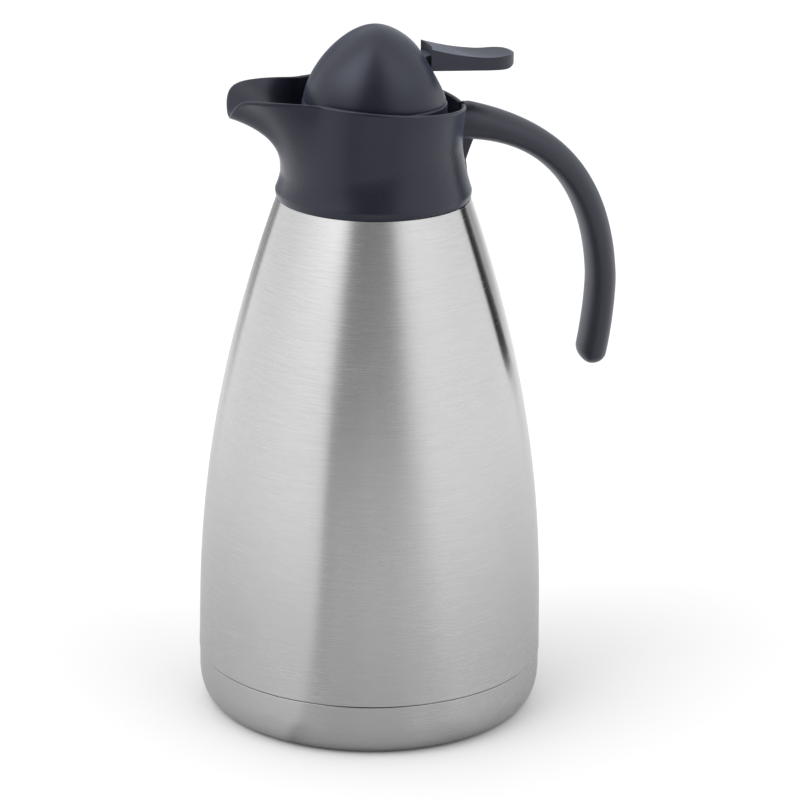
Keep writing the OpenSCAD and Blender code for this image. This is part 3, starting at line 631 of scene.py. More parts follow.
def collar():
    """Pouring collar, lofted round the jug. Sections crowd together at the pouring lip."""
    columns = 300
    rings = []
    for k in range(columns):
        u = 2 * k / columns - 1
        d = math.pi * (0.6 * u + 0.4 * u ** 3)
        rings.append([(-r * math.cos(d), -r * math.sin(d), z) for r, z in collar_section(abs(d))])
    made = piece("collar_body", [loft(rings, closed=True)], MATERIALS["collar_plastic"], 50)
    return stand_for(made, "collar")


# ---------------------------------------------------------------- handle
def grip_ring(at, side, stretch, shrink, sides=64):
    """D-shaped section of the grip: deep round side outwards, shallow side towards the jug."""
    middle = (GRIP_OUTER - GRIP_INNER) / 2
    ring = []
    for k in range(sides):
        angle = math.tau * k / sides
        depth = (GRIP_OUTER if math.cos(angle) > 0 else GRIP_INNER) * math.cos(angle)
        out = (depth - middle) * stretch * shrink
        ring.append((at.x + out * side.x, GRIP_HALF * math.sin(angle) * shrink, at.y + out * side.y))
    return ring


def bend_side(corners, t):
    step = (bezier(corners, t + 0.001) - bezier(corners, t - 0.001)).normalized()
    return Vector((-step.y, step.x))


def on_collar(point):
    """The point moved along X until it is just inside the collar's wall."""
    radius = collar_radius(math.pi, min(point[2], RIM_Z)) - (0.5 if point[2] < RIM_Z - 1 else 0)
    return (math.sqrt(radius ** 2 - point[1] ** 2), point[1], point[2])


def handle():
    """Grip swept along its bend, its rounded free end, and the rib under the root."""
    steps, end_steps, tip_steps = 90, 30, 14
    rings = []
    for k in range(steps + 1):
        t = k / steps
        at = bezier(GRIP_BEND, t)
        if at.x > RIM_R + 0.8:
            swell = 1 + ROOT_SWELL * max(0, 1 - t / ROOT_SWELL_END) ** 2
            rings.append(grip_ring(at, bend_side(GRIP_BEND, t), swell, 1))
    rings.insert(0, [on_collar(p) for p in rings[0]])
    for k in range(1, end_steps + 1):
        t = k / end_steps
        rings.append(grip_ring(bezier(GRIP_END, t), bend_side(GRIP_END, t), 1, 1))
    side = bend_side(GRIP_END, 1)
    along = Vector((side.y, -side.x))
    for k in range(1, tip_steps):
        angle = math.pi / 2 * k / tip_steps
        at = bezier(GRIP_END, 1) + along * math.sin(angle) * (GRIP_OUTER + GRIP_INNER) / 2
        rings.append(grip_ring(at, side, 1, math.cos(angle)))
    grip = piece("handle_body", [loft(rings)], MATERIALS["handle_plastic"], 60)
    back = WAIST_R - 0.6
    outline = [(back, RIB_CURVE[0][1]), *bezier_path(RIB_CURVE, 12), (RIB_CURVE[3][0], RIB_TOP_Z),
               (back, RIB_TOP_Z)]
    rib = piece("handle_rib", [prism(outline, -RIB_HALF, RIB_HALF)], MATERIALS["handle_plastic"])
    bevelled(rib, 0.9)
    return stand_for(join(grip, [rib]), "handle")


# ---------------------------------------------------------------- dome
def dome_outline(inset, steps=60):
    """(radius, height) points down the dome's curve, set in by a depth."""
    points = []
    for k in range(steps + 1):
        t = k / steps
        slope = (bezier(DOME_CURVE, t + 0.002) - bezier(DOME_CURVE, t - 0.002)).normalized()
        point = bezier(DOME_CURVE, t) + inset * Vector((slope.y, -slope.x))
        points.append((max(0, point.x), point.y))
    points[0] = (0, DOME_Z - inset)
    return points


def flattened(radius, angle, z, inset, blend=0.8):
    """Radius at an angle once the flat at the dome's back is cut, with a softened edge."""
    if math.cos(angle) < 0.02:
        return radius
    flat = (FLAT_POINT[0] - inset - FLAT_SLOPE * (z - FLAT_POINT[1])) / math.cos(angle)
    return (radius + flat - math.sqrt((radius - flat) ** 2 + blend ** 2)) / 2


def dome_shell():
    """Thick shell of the dome as one loft from its apex down the outside and up the inside."""
    columns = 240
    band = rounded([(DOME_R - 3, BAND_Z + 0.3), (DOME_R, BAND_Z + 0.3, 1.1), (DOME_R, FLANGE_Z[1], 0.25),
                    (DOME_R - DOME_WALL, FLANGE_Z[1], 0.25), (DOME_R - DOME_WALL, BAND_Z)])[2:-1]
    inner = [(min(r, DOME_R - DOME_WALL), z) for r, z in reversed(dome_outline(DOME_WALL)[1:])]
    rows = [(r, z, 0) for r, z in dome_outline(0)[1:] + band] + [(r, z, DOME_WALL) for r, z in inner]
    points, faces = [(0, 0, DOME_Z)], []
    for r, z, inset in rows:
        for k in range(columns):
            angle = math.tau * k / columns
            radius = flattened(r, angle, z, inset)
            points.append((radius * math.cos(angle), radius * math.sin(angle), z))
    points.append((0, 0, DOME_Z - DOME_WALL))
    for k in range(columns):
        m = (k + 1) % columns
        faces.append((0, 1 + k, 1 + m))
        for i in range(len(rows) - 1):
            a, b = 1 + i * columns, 1 + (i + 1) * columns
            faces.append((a + k, b + k, b + m, a + m))
        last = 1 + (len(rows) - 1) * columns
        faces.append((last + m, last + k, len(points) - 1))
    return points, faces


def window_cutter():
    """Opening for the lever: wide for the plate, narrow above it for the neck."""
    (wide, narrow), (foot, step, top) = WINDOW_HALF, WINDOW_Z
    outline = rounded([(-wide, foot, 1), (wide, foot, 1), (wide, step, 1), (narrow, step, 0.6),
                       (narrow, top, 1), (-narrow, top, 1), (-narrow, step, 0.6), (-wide, step, 1)])
    sections = [[(x, y, z) for y, z in outline] for x in (PIN[0] - 1, DOME_R + 5)]
    return piece("window_cutter", [loft(sections)], MATERIALS["dome_plastic"])


def dome_cap():
    """Dome with its lever window, the ears that hold the pin and the boss for the spring."""
    plastic = MATERIALS["dome_plastic"]
    made = piece("dome_body", [dome_shell()], plastic, 50)
    cut(made, window_cutter())
    parts = []
    for side in (-1, 1):
        ear = piece("ear", [prism(EAR_SIDE, side * EAR_Y[0], side * EAR_Y[1])], plastic)
        parts.append(bevelled(ear, 0.4))
    boss_z = SPRING_TOP + BOSS_HEIGHT
    boss = rounded([(0, SPRING_TOP), (BOSS_R, SPRING_TOP, 0.3), (BOSS_R, boss_z), (0, boss_z)])
    parts.append(piece("spring_boss", [lathe(boss, 64)], plastic))
    hole_r, hole_z = SCREW_R + 0.05, FLANGE_Z[1] + POST_HOLE_DEPTH
    post = rounded([(hole_r, FLANGE_Z[1]), (POST_R, FLANGE_Z[1], 0.2), (POST_R, POST_TOP_Z, 0.5),
                    (0, POST_TOP_Z), (0, hole_z), (hole_r, hole_z)], 4)
    solids = (lathe(post, 48), prism(POST_RIB_SIDE, -POST_RIB_HALF, POST_RIB_HALF))
    for degrees in SCREW_ANGLES:
        parts.append(piece("screw_post", [placed(solid, at_screw(degrees)) for solid in solids], plastic))
    return stand_for(join(made, parts), "dome_cap")


# ---------------------------------------------------------------- lever
def lever_top(x):
    """Height of the lever's top edge at x, from its two curves."""
    corners = LEVER_TOP if x < LEVER_TOP[3][0] else LEVER_THUMB
    low, high = 0.0, 1.0
    for _ in range(30):
        middle = (low + high) / 2
        low, high = (middle, high) if bezier(corners, middle).x < x else (low, middle)
    return bezier(corners, low).y


def plate_grid(half, root_r, height, columns=48, rows=40):
    """Rows of points over the plate's outline, from its concave root to its round end."""
    tip_x = LEVER_END_X - LEVER_HALF
    grid = []
    for i in range(rows + 1):
        row = []
        for k in range(columns + 1):
            turn = math.pi * (k / columns - 0.5)
            y = half * math.sin(turn)
            x0 = math.sqrt(root_r ** 2 - y * y)
            x = x0 + (tip_x + half * math.cos(turn) - x0) * i / rows
            row.append((x, y, height(x, y)))
        grid.append(row)
    return grid


def closed_plate(top, bottom):
    """Closed solid between two grids of the same layout."""
    rows, columns = len(top), len(top[0])
    points = [p for row in top for p in row] + [p for row in bottom for p in row]
    shift = rows * columns
    faces = []
    for i in range(rows - 1):
        for k in range(columns - 1):
            a = i * columns + k
            quad = (a, a + 1, a + columns + 1, a + columns)
            faces.append(quad)
            faces.append(tuple(shift + v for v in reversed(quad)))
    edge = ([k for k in range(columns - 1)]
            + [i * columns + columns - 1 for i in range(rows - 1)]
            + [(rows - 1) * columns + k for k in range(columns - 1, 0, -1)]
            + [i * columns for i in range(rows - 1, 0, -1)])
    for j, a in enumerate(edge):
        b = edge[(j + 1) % len(edge)]
        faces.append((a, shift + a, shift + b, b))
    return points, faces


def dished(x, y):
    """Top of the lever, hollowed for the thumb near its end."""
    centre = (LEVER_END_X - LEVER_HALF - DISH_BACK, 0, DISH_Z + DISH_R)
    flat = (x - centre[0]) ** 2 + (y - centre[1]) ** 2
    bowl = centre[2] - math.sqrt(DISH_R ** 2 - flat)
    top = lever_top(x)
    return (top + bowl - math.sqrt((top - bowl) ** 2 + DISH_BLEND ** 2)) / 2


def under(x, y):
    """Underside of the lever: straight, then curving up to the end."""
    tip = max(0, x - (LEVER_END_X - 5)) / 5
    along = (x - 19) / (LEVER_END_X - 31)
    return LEVER_UNDER_Z[0] + (LEVER_UNDER_Z[1] - LEVER_UNDER_Z[0]) * min(1, along) + 1.6 * tip ** 2


def thumb_lever():
    """Thumb plate with its hollow underside, hub on the pin, neck through the window and fork."""
    plastic = MATERIALS["lever_plastic"]
    plate = closed_plate(plate_grid(LEVER_HALF, LEVER_ROOT_R, dished),
                         plate_grid(LEVER_HALF, LEVER_ROOT_R, under))
    made = bevelled(piece("lever_body", [plate], plastic), 0.55, 3, 50)
    hollow = closed_plate(plate_grid(CHANNEL_HALF, LEVER_ROOT_R - 3, lambda x, y: CHANNEL_Z),
                          plate_grid(CHANNEL_HALF, LEVER_ROOT_R - 3, lambda x, y: CHANNEL_OPEN_Z))
    cut(made, piece("channel_cutter", [hollow], plastic))
    hub = arc(PIN, (LEVER_HUB_R, LEVER_HUB_R), 0, math.tau, 32)[:-1]
    others = [bevelled(piece("hub", [prism(hub, -HUB_HALF, HUB_HALF)], plastic), 0.4),
              bevelled(piece("neck", [prism(NECK_SIDE, -NECK_HALF, NECK_HALF)], plastic), 0.4)]
    prong = arc((0, PIN[1]), (PRONG_R, PRONG_R), -math.pi / 2, -math.pi * 3 / 2, 12)
    prong += [(PIN[0], PIN[1] + PRONG_R), (PIN[0], PIN[1] - PRONG_R)]
    for side in (-1, 1):
        solid = prism(prong, side * PRONG_Y[0], side * PRONG_Y[1])
        others.append(bevelled(piece("prong", [solid], plastic), 0.3))
    return stand_for(join(made, others), "thumb_lever")


# ---------------------------------------------------------------- stopper, valve and hidden parts
THREAD_LEAD, THREAD_STARTS, THREAD_FLANK = 12, 3, 0.6
THREAD_Z, THREAD_CORE, THREAD_CREST = (232.6, 241.2), 25.8, 27
RING_BORE, RING_CREST = 27.3, 26.2
NECK_RING_R, NECK_RING_HEAD_R, NECK_RING_TOP_R = 30.3, 33.2, 28.2
NECK_RING_TOP = heights("neck_ring")[1]
GASKET_R, LOCK_RING_R = (27.6, 33.4), (31.15, 33.6)
SEAL_R, SEAL_VALLEY_R, SEAL_RIB_R = 23.86, 25.6, MOUTH_R - 0.06
SEAL_RIBS, SEAL_VALLEY = ((0.8, 1.4), (3.2, 3.8)), 2.3
PLUG_R, PLUG_BORE, PLUG_Z = 25.2, 22, 205
GROOVE_R, GROOVE_Z = 23.8, (219, 224)
POUR_WINDOW, POUR_WINDOW_Z, POUR_WINDOW_ANGLES = 4.5, (241.8, 247.9), (108, 144, 180, 216, 252)
SPIGOT_R, SPIGOT_Z = (26, 27.4), 253
GUIDE_R, GUIDE_Z, ROD_SEAL_R, ROD_SEAL_Z = 6, (240, 256), 4.4, 253.5
ROD_R, ROD_THREAD_LENGTH, ROD_THREAD_DEPTH, ROD_PITCH = 2.5, 3, 0.25, 0.8
ROD_HEAD_R, ROD_HEAD_FLANGE = (6.2, 3.3), 2
SEAT_BORE, SEAT_RIDGE_R, SEAT_RIDGE = 10, (11.2, 10.8, 10.3), 0.8
DISC_R, DISC_HUB_R, DISC_RISE = 13.5, 5.5, (1.6, 2.6)
VALVE_SEAL_R = 13
NUT_FLATS = span("valve_nut")[1].y
NUT_CORNER_R, NUT_FACE_R, NUT_CHAMFER = 5, 4.4, 0.4
SPRING_R, SPRING_WIRE, SPRING_TURNS = 4.4, 0.5, 5
FLASK_GAP, FLASK_CORNER, FLASK_SHOULDER = 5.6, 12, ((190, 198), (206, 214))
VACUUM_STEP, PUMP_HOLE_R, PLUG_HEAD = 6, 2, (6, 1.4)
GETTER_R, GETTER_CUP_R = 6, 4.5


def ridge(height, angle, lead, starts, crest, flank, offset=0.0):
    """1 on the crests of a right-hand screw thread and 0 between them, with sloping flanks."""
    pitch = lead / starts
    phase = (height - lead * angle / math.tau) / pitch + offset
    away = abs(phase - round(phase)) * pitch - crest / 2
    return min(1, max(0, 1 - away / flank))


def faded(height, low, high, length=1.2):
    """1 inside a stretch, running smoothly to 0 at both of its ends."""
    t = min(1, max(0, min(height - low, high - height) / length))
    return t * t * (3 - 2 * t)


def plug_thread(radius, height, angle):
    rise = faded(height, *THREAD_Z)
    if radius < PLUG_R - 0.01 or rise == 0:
        return radius
    crest = ridge(height, angle, THREAD_LEAD, THREAD_STARTS, 0.8, THREAD_FLANK)
    return radius + rise * (THREAD_CORE - PLUG_R + (THREAD_CREST - THREAD_CORE) * crest)


def ring_thread(radius, height, angle):
    if radius > RING_BORE + 0.01:
        return radius
    rise = faded(height, FLOOR_UNDER_Z, NECK_RING_TOP, 0.8)
    crest = ridge(height, angle, THREAD_LEAD, THREAD_STARTS, 0.7, THREAD_FLANK, 0.5)
    return radius - rise * (RING_BORE - RING_CREST) * crest


def stopper_plug():
    """Barrel with its three-start thread, pouring windows, flange, spigot, rod guide and screw holes."""
    plastic = MATERIALS["stopper_plastic"]
    flange_low, flange_top = FLANGE_Z
    lower = [(PLUG_BORE, PLUG_Z), (PLUG_R, PLUG_Z, 0.3), (PLUG_R, GROOVE_Z[0], 0.25),
             (GROOVE_R, GROOVE_Z[0]), (GROOVE_R, GROOVE_Z[1]), (PLUG_R, GROOVE_Z[1], 0.25)]
    upper = [(PLUG_R, flange_low), (DOME_R, flange_low, 0.5), (DOME_R, flange_top, 0.15),
             (SPIGOT_R[1], flange_top), (SPIGOT_R[1], SPIGOT_Z, 0.3), (SPIGOT_R[0], SPIGOT_Z, 0.3),
             (SPIGOT_R[0], flange_top), (GUIDE_R, flange_top, 0.5), (GUIDE_R, GUIDE_Z[1], 0.4),
             (ROD_SEAL_R, GUIDE_Z[1], 0.2), (ROD_SEAL_R, ROD_SEAL_Z), (ROD_R + 0.06, ROD_SEAL_Z),
             (ROD_R + 0.06, GUIDE_Z[0], 0.2), (GUIDE_R, GUIDE_Z[0], 0.4), (GUIDE_R, flange_low, 0.8),
             (PLUG_BORE, flange_low, 0.8)]
    outline = rounded(lower + levels(PLUG_R, THREAD_Z[0] - 0.1, THREAD_Z[1] + 0.1) + upper, 4)
    made = piece("plug_body", [lathe(outline, 180, plug_thread)], plastic, 40)
    outline = section(-POUR_WINDOW, POUR_WINDOW, *POUR_WINDOW_Z, 0.8)
    window = loft([[(x, y, z) for y, z in outline] for x in (PLUG_BORE - 1, THREAD_CREST + 1)])
    tools = [placed(window, lambda p, a=a: Matrix.Rotation(math.radians(a), 3, "Z") @ p)
             for a in POUR_WINDOW_ANGLES]
    hole_r, low, high = SCREW_R + 0.3, flange_low - 1, flange_top + 1
    hole = lathe([(hole_r, low), (hole_r, high), (0, high), (0, low)], 32)
    tools += [placed(hole, at_screw(a)) for a in SCREW_ANGLES]
    cut(made, piece("plug_cutter", tools, plastic))
    tidy_mesh(made, 40)
    return stand_for(made, "stopper_plug")


def at_screw(degrees):
    """Moves a point from the jug's axis to the axis of one of the dome's screws."""
    turn = Matrix.Rotation(math.radians(degrees), 3, "Z")
    return lambda point: turn @ (point + Vector((SCREW_RING_R, 0, 0)))


def dome_screws():
    """Three slotted pan-head screws that hold the dome from inside the plug."""
    steel = MATERIALS["fittings"]
    low, seat = heights("dome_screws")[0], FLANGE_Z[0]
    top = seat + SCREW_LENGTH

    def thread(radius, height, angle):
        if radius < SCREW_R - 0.01 or height < FLANGE_Z[1] or height > top - 0.6:
            return radius
        return radius - 0.28 * (1 - ridge(height, angle, 0.9, 1, 0.1, 0.4))

    head = rounded([(0, low), (SCREW_HEAD_R, low, 0.7), (SCREW_HEAD_R, seat, 0.1), (SCREW_R, seat)])
    shank = levels(SCREW_R, seat + 1, top - 0.4, 0.15) + [(SCREW_R - SCREW_POINT, top), (0, top)]
    reach, half = SCREW_HEAD_R + 0.5, SLOT_HALF
    across = ((-reach, -half), (reach, -half), (reach, half), (-reach, half))
    slot = loft([[(x, y, z) for x, y in across] for z in (low - 1, low + SLOT_DEPTH)])
    made = []
    for degrees in SCREW_ANGLES:
        screw = piece("screw", [lathe(head + shank, 32, thread)], steel)
        cut(screw, piece("slot_cutter", [slot], steel))
        where = at_screw(degrees)
        for vertex in screw.data.vertices:
            vertex.co = where(vertex.co / MM) * MM
        made.append(screw)
    return stand_for(join(made[0], made[1:]), "dome_screws")


def valve_spring():
    """Round wire wound in five turns, with its ends drawn flat. The real spring closes up as the valve
    lifts; this one keeps one shape, riding on the stopper's body.
    """
    foot, top = heights("valve_spring")[0] + SPRING_WIRE, SPRING_TOP - SPRING_WIRE - 0.1
    steps, sides = 44 * SPRING_TURNS, 14
    rings = []
    for k in range(steps + 1):
        turn = SPRING_TURNS * k / steps
        share = min(1, max(0, (turn - 0.5) / (SPRING_TURNS - 1)))
        angle, z = math.tau * turn, foot + (top - foot) * share
        ring = []
        for j in range(sides):
            around_wire = math.tau * j / sides
            radius = SPRING_R + SPRING_WIRE * math.cos(around_wire)
            height = z + SPRING_WIRE * math.sin(around_wire)
            ring.append((radius * math.cos(angle), radius * math.sin(angle), height))
        rings.append(ring)
    made = piece("spring_wire", [loft(rings)], MATERIALS["fittings"], 50)
    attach(made, "stopper")
    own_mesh(made)
    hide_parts("valve_spring")
    return made


def inner_flask():
    """Flask inside the vacuum: rounded bottom, side along the body, shoulder, neck and rolled lip."""
    low, corner = heights("inner_flask")[0], FLASK_CORNER
    inset, (side_top, bend_z), (arch_z, neck_z) = STEEL + FLASK_GAP, *FLASK_SHOULDER
    path = bezier_path(BODY_CURVE, WALL_STEPS)
    side = [(r - inset, z) for r, z in path if low + corner < z < side_top]
    neck, last = MOUTH_R + STEEL, side[-1]
    rise = last[1] + bend_z - side_top
    shoulder = bezier_path((last, (last[0] - 3, rise), (neck, arch_z), (neck, neck_z)), 24)
    wall = side[:-1] + shoulder

    def bottom(thickness):
        radius = corner - thickness
        return arc((side[0][0] - corner, low + corner), (radius, radius), -math.pi / 2, 0, 16)

    lip_foot = LIP_Z - 2
    lip = rounded([(neck, lip_foot), (neck, LIP_Z, 0.3), (MOUTH_R, LIP_Z, 0.3), (MOUTH_R, lip_foot)], 4)
    inner = [(r - STEEL, z) for r, z in reversed(wall)]
    outline = [(0, low)] + bottom(0) + wall + lip + inner + bottom(STEEL)[::-1] + [(0, low + STEEL)]
    made = piece("flask_body", [lathe(outline, 192)], MATERIALS["flask_steel"], 50)
    return stand_for(made, "inner_flask")


def turned(node, columns, outline, shape=None):
    """A part that is round about the jug's axis, in its own slot's material."""
    made = piece(node + "_turned", [lathe(outline, columns, shape)], MATERIALS[SLOTS[node]], 40)
    return stand_for(made, node)


def collar_gasket():
    turned("collar_gasket", 160, section(*GASKET_R, *heights("collar_gasket"), 0.6))


def lock_ring():
    turned("lock_ring", 160, section(*LOCK_RING_R, *heights("lock_ring"), 0.3))


def neck_ring():
    """Ring under the collar's floor, with a head above it and the thread in its bore."""
    low, high = heights("neck_ring")
    outside = rounded([
        (NECK_RING_R, low), (NECK_RING_R, FLOOR_Z), (NECK_RING_HEAD_R, FLOOR_Z),
        (NECK_RING_HEAD_R, high - 1.4, 0.4), (NECK_RING_R, high, 0.4), (NECK_RING_TOP_R, high)])
    turned("neck_ring", 180, outside + levels(RING_BORE, low, high)[::-1], ring_thread)


def stopper_seal():
    """Silicone ring with two ribs that press on the neck."""
    low, high = heights("stopper_seal")
    ribs = [[(SEAL_RIB_R, low + rise, 0.25) for rise in rib] for rib in SEAL_RIBS]
    turned("stopper_seal", 192, rounded([
        (SEAL_R, low), (PLUG_R, low, 0.2), *ribs[0], (SEAL_VALLEY_R, low + SEAL_VALLEY, 0.4), *ribs[1],
        (PLUG_R, high, 0.2), (SEAL_R, high)], 5))


def valve_seat():
    """Bottom of the plug, with the raised ridge that the valve's seal closes on."""
    low, high = heights("valve_seat")
    deck, (foot_r, out_r, in_r) = high - SEAT_RIDGE, SEAT_RIDGE_R
    turned("valve_seat", 128, rounded([
        (SEAT_BORE, low, 0.3), (PLUG_R, low, 0.6), (PLUG_R, PLUG_Z), (PLUG_BORE, PLUG_Z), (PLUG_BORE, deck),
        (foot_r, deck), (out_r, high, 0.2), (in_r, high, 0.2), (SEAT_BORE, deck)], 4))


def rod_seal():
    low, high = ROD_SEAL_Z + 0.02, GUIDE_Z[1] - 0.05
    turned("rod_seal", 64, section(ROD_R + 0.05, ROD_SEAL_R - 0.05, low, high, 0.3, 4))


def valve_disc():
    low, high = heights("valve_disc")
    turned("valve_disc", 96, rounded([
        (ROD_R, low), (DISC_R, low, 0.2), (DISC_R, low + DISC_RISE[0], 0.6),
        (DISC_HUB_R, low + DISC_RISE[1], 0.8), (DISC_HUB_R, high, 0.5), (ROD_R, high)], 5))


def valve_seal():
    low, high = heights("valve_seal")
    turned("valve_seal", 96, rounded([
        (ROD_R, low), (VALVE_SEAL_R, low, 0.5), (VALVE_SEAL_R, high, 0.5), (ROD_R, high)], 5))


def hexagon(radius, height, angle):
    """Flats of the nut inside its chamfered outline."""
    if radius < 3:
        return radius
    return min(radius, NUT_FLATS / math.cos(angle % (math.pi / 3) - math.pi / 6))


def valve_nut():
    low, high = heights("valve_nut")
    turned("valve_nut", 96, [
        (ROD_R, high), (ROD_R, low + 0.2), (ROD_R + 0.2, low), (NUT_FACE_R, low),
        (NUT_CORNER_R, low + NUT_CHAMFER), (NUT_CORNER_R, high - NUT_CHAMFER), (NUT_FACE_R, high)], hexagon)


def valve_rod():
    """Rod with a fine thread at its foot for the nut."""
    low, high = heights("valve_rod")

    def thread(radius, height, angle):
        if radius < ROD_R or height > low + ROD_THREAD_LENGTH:
            return radius
        return radius - ROD_THREAD_DEPTH * (1 - ridge(height, angle, ROD_PITCH, 1, 0.1, 0.35))

    foot = levels(ROD_R, low + 0.5, low + ROD_THREAD_LENGTH + 0.5, 0.12)
    turned("valve_rod", 64, rounded([(0, low), (ROD_R, low, 0.4), *foot, (ROD_R, high, 0.5), (0, high)], 4),
           thread)


def rod_head():
    """Cap on the rod, with the flange that the lever's fork lifts."""
    (low, high), (wide, narrow) = heights("rod_head"), ROD_HEAD_R
    step, rod_top = low + ROD_HEAD_FLANGE, heights("valve_rod")[1]
    turned("rod_head", 80, rounded([
        (ROD_R, low), (wide, low, 0.3), (wide, step, 0.6), (narrow, step, 0.4), (narrow, high, 0.8),
        (0, high), (0, rod_top), (ROD_R, rod_top)], 5))


def vacuum_base():
    """Pressed plate with a rim along the shell's wall and a hole for pumping."""
    low, high = heights("vacuum_base")
    flange, deck = span("vacuum_base")[1].x, low + VACUUM_STEP
    turned("vacuum_base", 160, rounded([
        (PUMP_HOLE_R, deck), (flange - STEEL, deck, 1), (flange - STEEL, low, 0.2), (flange, low, 0.2),
        (flange, high, 0.2), (flange - STEEL, high, 0.2), (flange - STEEL, deck + STEEL, 0.6),
        (PUMP_HOLE_R, deck + STEEL)], 4))


def seal_plug():
    """Solder drop that closes the pumping hole."""
    (low, high), (head_r, head) = heights("seal_plug"), PLUG_HEAD
    turned("seal_plug", 48, rounded([
        (0, low), (head_r, low, 0.8), (head_r, low + head), (PUMP_HOLE_R, low + head),
        (PUMP_HOLE_R, high), (0, high)]))


def getter():
    """Shallow cup beside the jug's axis, on the vacuum's side of the base."""
    low, high = span("getter")
    middle = (low + high) / 2
    cup = lathe(rounded([
        (0, low.z), (GETTER_R, low.z, 0.3), (GETTER_R, high.z, 0.2), (GETTER_CUP_R, high.z, 0.2),
        (GETTER_CUP_R, high.z - 1, 0.2), (0, high.z - 1)]), 48)
    cup = placed(cup, lambda p: p + Vector((middle.x, middle.y, 0)))
    stand_for(piece("getter_turned", [cup], MATERIALS["fittings"]), "getter")


def lever_pin():
    """Pin across the ears."""
    half = span("lever_pin")[1].y
    pin = lathe(rounded([(0, -half), (PIN_R, -half, 0.35), (PIN_R, half, 0.35), (0, half)], 4), 48)
    pin = placed(pin, lambda p: Vector((PIN[0] + p.x, p.z, PIN[1] + p.y)))
    stand_for(piece("pin_turned", [pin], MATERIALS["fittings"]), "lever_pin")


# ---------------------------------------------------------------- studio
CAMERA_AZIMUTH, CAMERA_ELEVATION = math.radians(-14), math.radians(18.86)
CAMERA_DISTANCE, CAMERA_ROLL = 1.5073, math.radians(0.74)
CAMERA_TARGET = Vector((0.0114, -0.0028, 0.1299))
CAMERA_LENS = 163.5

# Brightness of the studio around the jug, near the horizon and high up, the darker far side behind the jug,
# and painted shade in the floor's colour that reflections show on the camera's side: degrees anticlockwise
# from the camera, brightness. BACK also darkens the floor's colour far behind the jug, as painted shade.
HORIZON = (
    (-180, 1.0), (-150, 1.06), (-128, 1.16), (-60, 1.2), (-39, 1.08), (-34.5, 0.24), (-28, 0.16),
    (-21, 0.26), (-10, 0.3), (0, 0.34), (21, 0.36), (29, 0.43), (34, 0.68), (41, 1.12), (60, 1.24),
    (120, 1.24), (150, 1.15), (180, 1.0))
HIGH = (
    (-180, 1.4), (-140, 3.3), (-75, 3.2), (-42, 0.7), (-22, 0.2), (18, 0.18), (42, 0.6), (75, 1.8),
    (130, 2.1), (180, 1.2))
BACK = (
    (-180, 0.3), (-141, 0.26), (-136, 1.0), (134, 1.0), (139, 0.35), (150, 0.5), (165, 0.85), (180, 0.6))
FLOOR_SECTOR = (
    (-180, 1.0), (-32, 1.0), (-28, 0.0), (-20, 0.5), (0, 0.75), (22, 0.75), (32, 0.6), (46, 1.0),
    (180, 1.0))
# Rise of a direction over which HORIZON gives way to HIGH, and over which BACK ends.
HIGH_RISE, BACK_RISE = (0.3, 0.75), (0.3, 0.6)
# Distances from the jug, in metres, over which BACK's painted shade begins on the floor, the floor's
# painted shadow fades and FLOOR_SECTOR's painted shade deepens.
BACK_REACH, BRIGHT_REACH, SECTOR_REACH = (0.75, 1.15), (0.05, 0.8), (0.15, 0.8)
# What the floor gives back close to the jug, darkened there as a painted shadow of the jug, further out,
# and to the camera, and the shares of it that are left close to the jug and further out where FLOOR_SECTOR
# is 0, as painted shade.
FLOOR_PAINTED_SHADOW, FLOOR_FAR, FLOOR_SEEN = 0.53, 0.97, 0.83
SECTOR_SHARE = (0.62, 0.4)
# How much narrower the studio's dark strip gets with height.
NARROWING = 1.2


def bearing(tree, place, narrowing=0.0):
    """Angle of a direction about the jug's axis, as a share of a full turn with the camera at one half, and
    the direction's rise."""
    turned = add(tree, "VectorRotate", {"Vector": place, "Angle": math.pi / 2 - CAMERA_AZIMUTH},
                 rotation_type="Z_AXIS").outputs["Vector"]
    axes = add(tree, "SeparateXYZ", {"Vector": turned}).outputs
    angle = add(tree, "Math", {0: axes["Y"], 1: axes["X"]}, operation="ARCTAN2").outputs["Value"]
    if narrowing:
        widened = add(tree, "Math", {0: axes["Z"], 1: narrowing, 2: 1.0}, operation="MULTIPLY_ADD")
        angle = multiplied(tree, angle, widened.outputs["Value"])
    share = add(tree, "MapRange", {"Value": angle, "From Min": -math.pi, "From Max": math.pi})
    return share.outputs["Result"], axes["Z"]


def around(tree, share, stops):
    """Grey value that follows the bearing through a list of stops."""
    ramp = add(tree, "ValToRGB", {"Fac": share})
    elements = ramp.color_ramp.elements
    while len(elements) > 1:
        elements.remove(elements[-1])
    for k, (degrees, brightness) in enumerate(stops):
        stop = elements[0] if k == 0 else elements.new((degrees + 180) / 360)
        stop.position = (degrees + 180) / 360
        stop.color = (brightness, brightness, brightness, 1)
    return ramp.outputs["Color"]


def blended(tree, share, first, second):
    return add(tree, "Mix", {0: share, 2: first, 3: second}).outputs[0]


def studio():
    """Soft light from a pale studio that is darker behind the camera. The camera sees it plain white."""
    world = bpy.data.worlds.new("studio")
    bpy.context.scene.world = world
    world.use_nodes = True
    tree = world.node_tree
    background = next(n for n in tree.nodes if n.type == "BACKGROUND")
    place = add(tree, "TexCoord").outputs["Generated"]
    share, rise = bearing(tree, place, NARROWING)
    high = add(tree, "MapRange", {"Value": rise, "From Min": HIGH_RISE[0], "From Max": HIGH_RISE[1]},
               interpolation_type="SMOOTHSTEP").outputs["Result"]
    light = blended(tree, high, around(tree, share, HORIZON), around(tree, share, HIGH))
    back = around(tree, bearing(tree, place)[0], BACK)
    light = multiplied(tree, light, blended(tree, spread(tree, rise, 1.0, 0.0, *BACK_RISE), 1.0, back))
    seen = add(tree, "LightPath").outputs["Is Camera Ray"]
    feed(tree, background, {"Color": blended(tree, seen, light, 1.0), "Strength": 1.0})


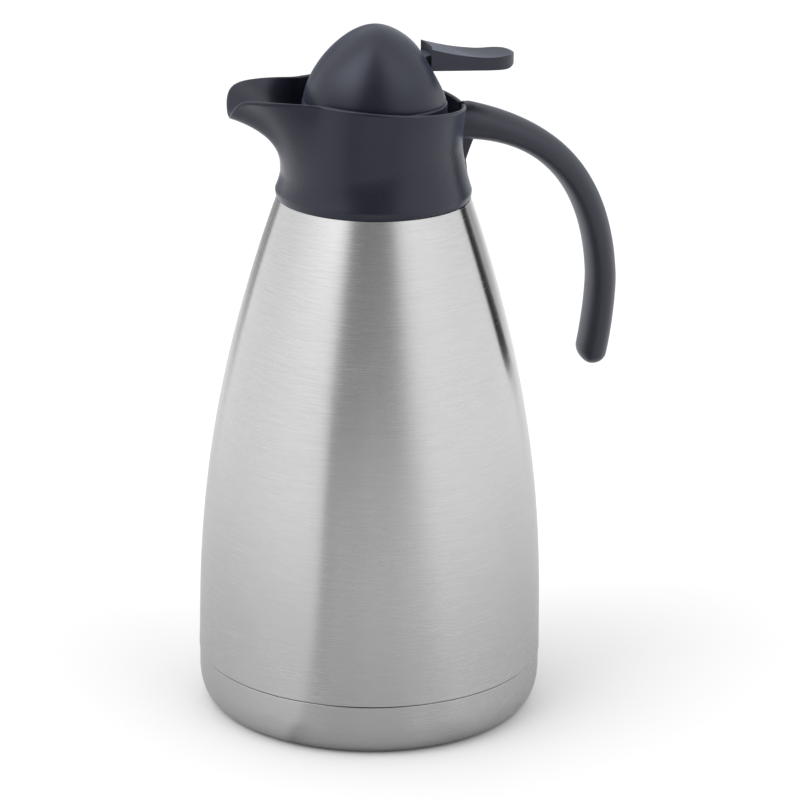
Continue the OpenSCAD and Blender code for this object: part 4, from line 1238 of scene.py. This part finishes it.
def floor():
    """Plain pale floor, just under the jug's foot, as the camera sees it. In reflections its colour carries
    painted shade: a painted shadow close to the jug, a painted dark sector on the camera's side and painted
    shade far behind the jug.
    """
    material, tree, shader = shaded("floor", {"Roughness": 0.7})
    place = add(tree, "TexCoord").outputs["Object"]
    reach = add(tree, "VectorMath", {0: place}, operation="LENGTH").outputs["Value"]
    share = bearing(tree, place)[0]
    # Painted shadow and painted shade: in reflections the floor's colour is darker close to the jug, in a
    # sector on the camera's side and far behind the jug. The camera itself sees the plain colour.
    near = spread(tree, reach, FLOOR_PAINTED_SHADOW, FLOOR_FAR, *BRIGHT_REACH)
    deepest_painted_shade = spread(tree, reach, *SECTOR_SHARE, *SECTOR_REACH)
    sector = blended(tree, around(tree, share, FLOOR_SECTOR), deepest_painted_shade, 1.0)
    behind = blended(tree, spread(tree, reach, 0.0, 1.0, *BACK_REACH), 1.0, around(tree, share, BACK))
    painted_floor_shade = multiplied(tree, multiplied(tree, near, sector), behind)
    seen = add(tree, "LightPath").outputs["Is Camera Ray"]
    feed(tree, shader, {"Base Color": blended(tree, seen, painted_floor_shade, FLOOR_SEEN)})
    sides = 96
    ring = [(x, y, -0.05) for x, y in arc((0, 0), (8000, 8000), 0, math.tau, sides)[:-1]]
    piece("floor", [(ring, [tuple(range(sides))])], material)


def camera():
    """Camera at the photograph's angle."""
    data = bpy.data.cameras.new("camera")
    made = bpy.data.objects.new("camera", data)
    bpy.context.scene.collection.objects.link(made)
    bpy.context.scene.camera = made
    data.lens = CAMERA_LENS
    data.sensor_width = 36
    data.clip_start, data.clip_end = 0.05, 30
    back = Vector((math.sin(CAMERA_AZIMUTH) * math.cos(CAMERA_ELEVATION),
                   -math.cos(CAMERA_AZIMUTH) * math.cos(CAMERA_ELEVATION), math.sin(CAMERA_ELEVATION)))
    made.location = CAMERA_TARGET + back * CAMERA_DISTANCE
    aim = (-back).to_track_quat("-Z", "Y").to_matrix().to_4x4()
    made.rotation_euler = (aim @ Matrix.Rotation(CAMERA_ROLL, 4, "Z")).to_euler()


camera()
studio()
floor()
bpy.context.scene.view_settings.view_transform = "Standard"
finish_cad_nodes()
for build in (outer_shell, base_cup, foot_ring, collar, handle, dome_cap, thumb_lever, stopper_plug,
              dome_screws, valve_spring, inner_flask, collar_gasket, lock_ring, neck_ring, stopper_seal,
              valve_seat, rod_seal, valve_disc, valve_seal, valve_nut, valve_rod, rod_head, vacuum_base,
              seal_plug, getter, lever_pin):
    build()


def corners(pair):
    return [[round(value, 6) for value in corner] for corner in pair]
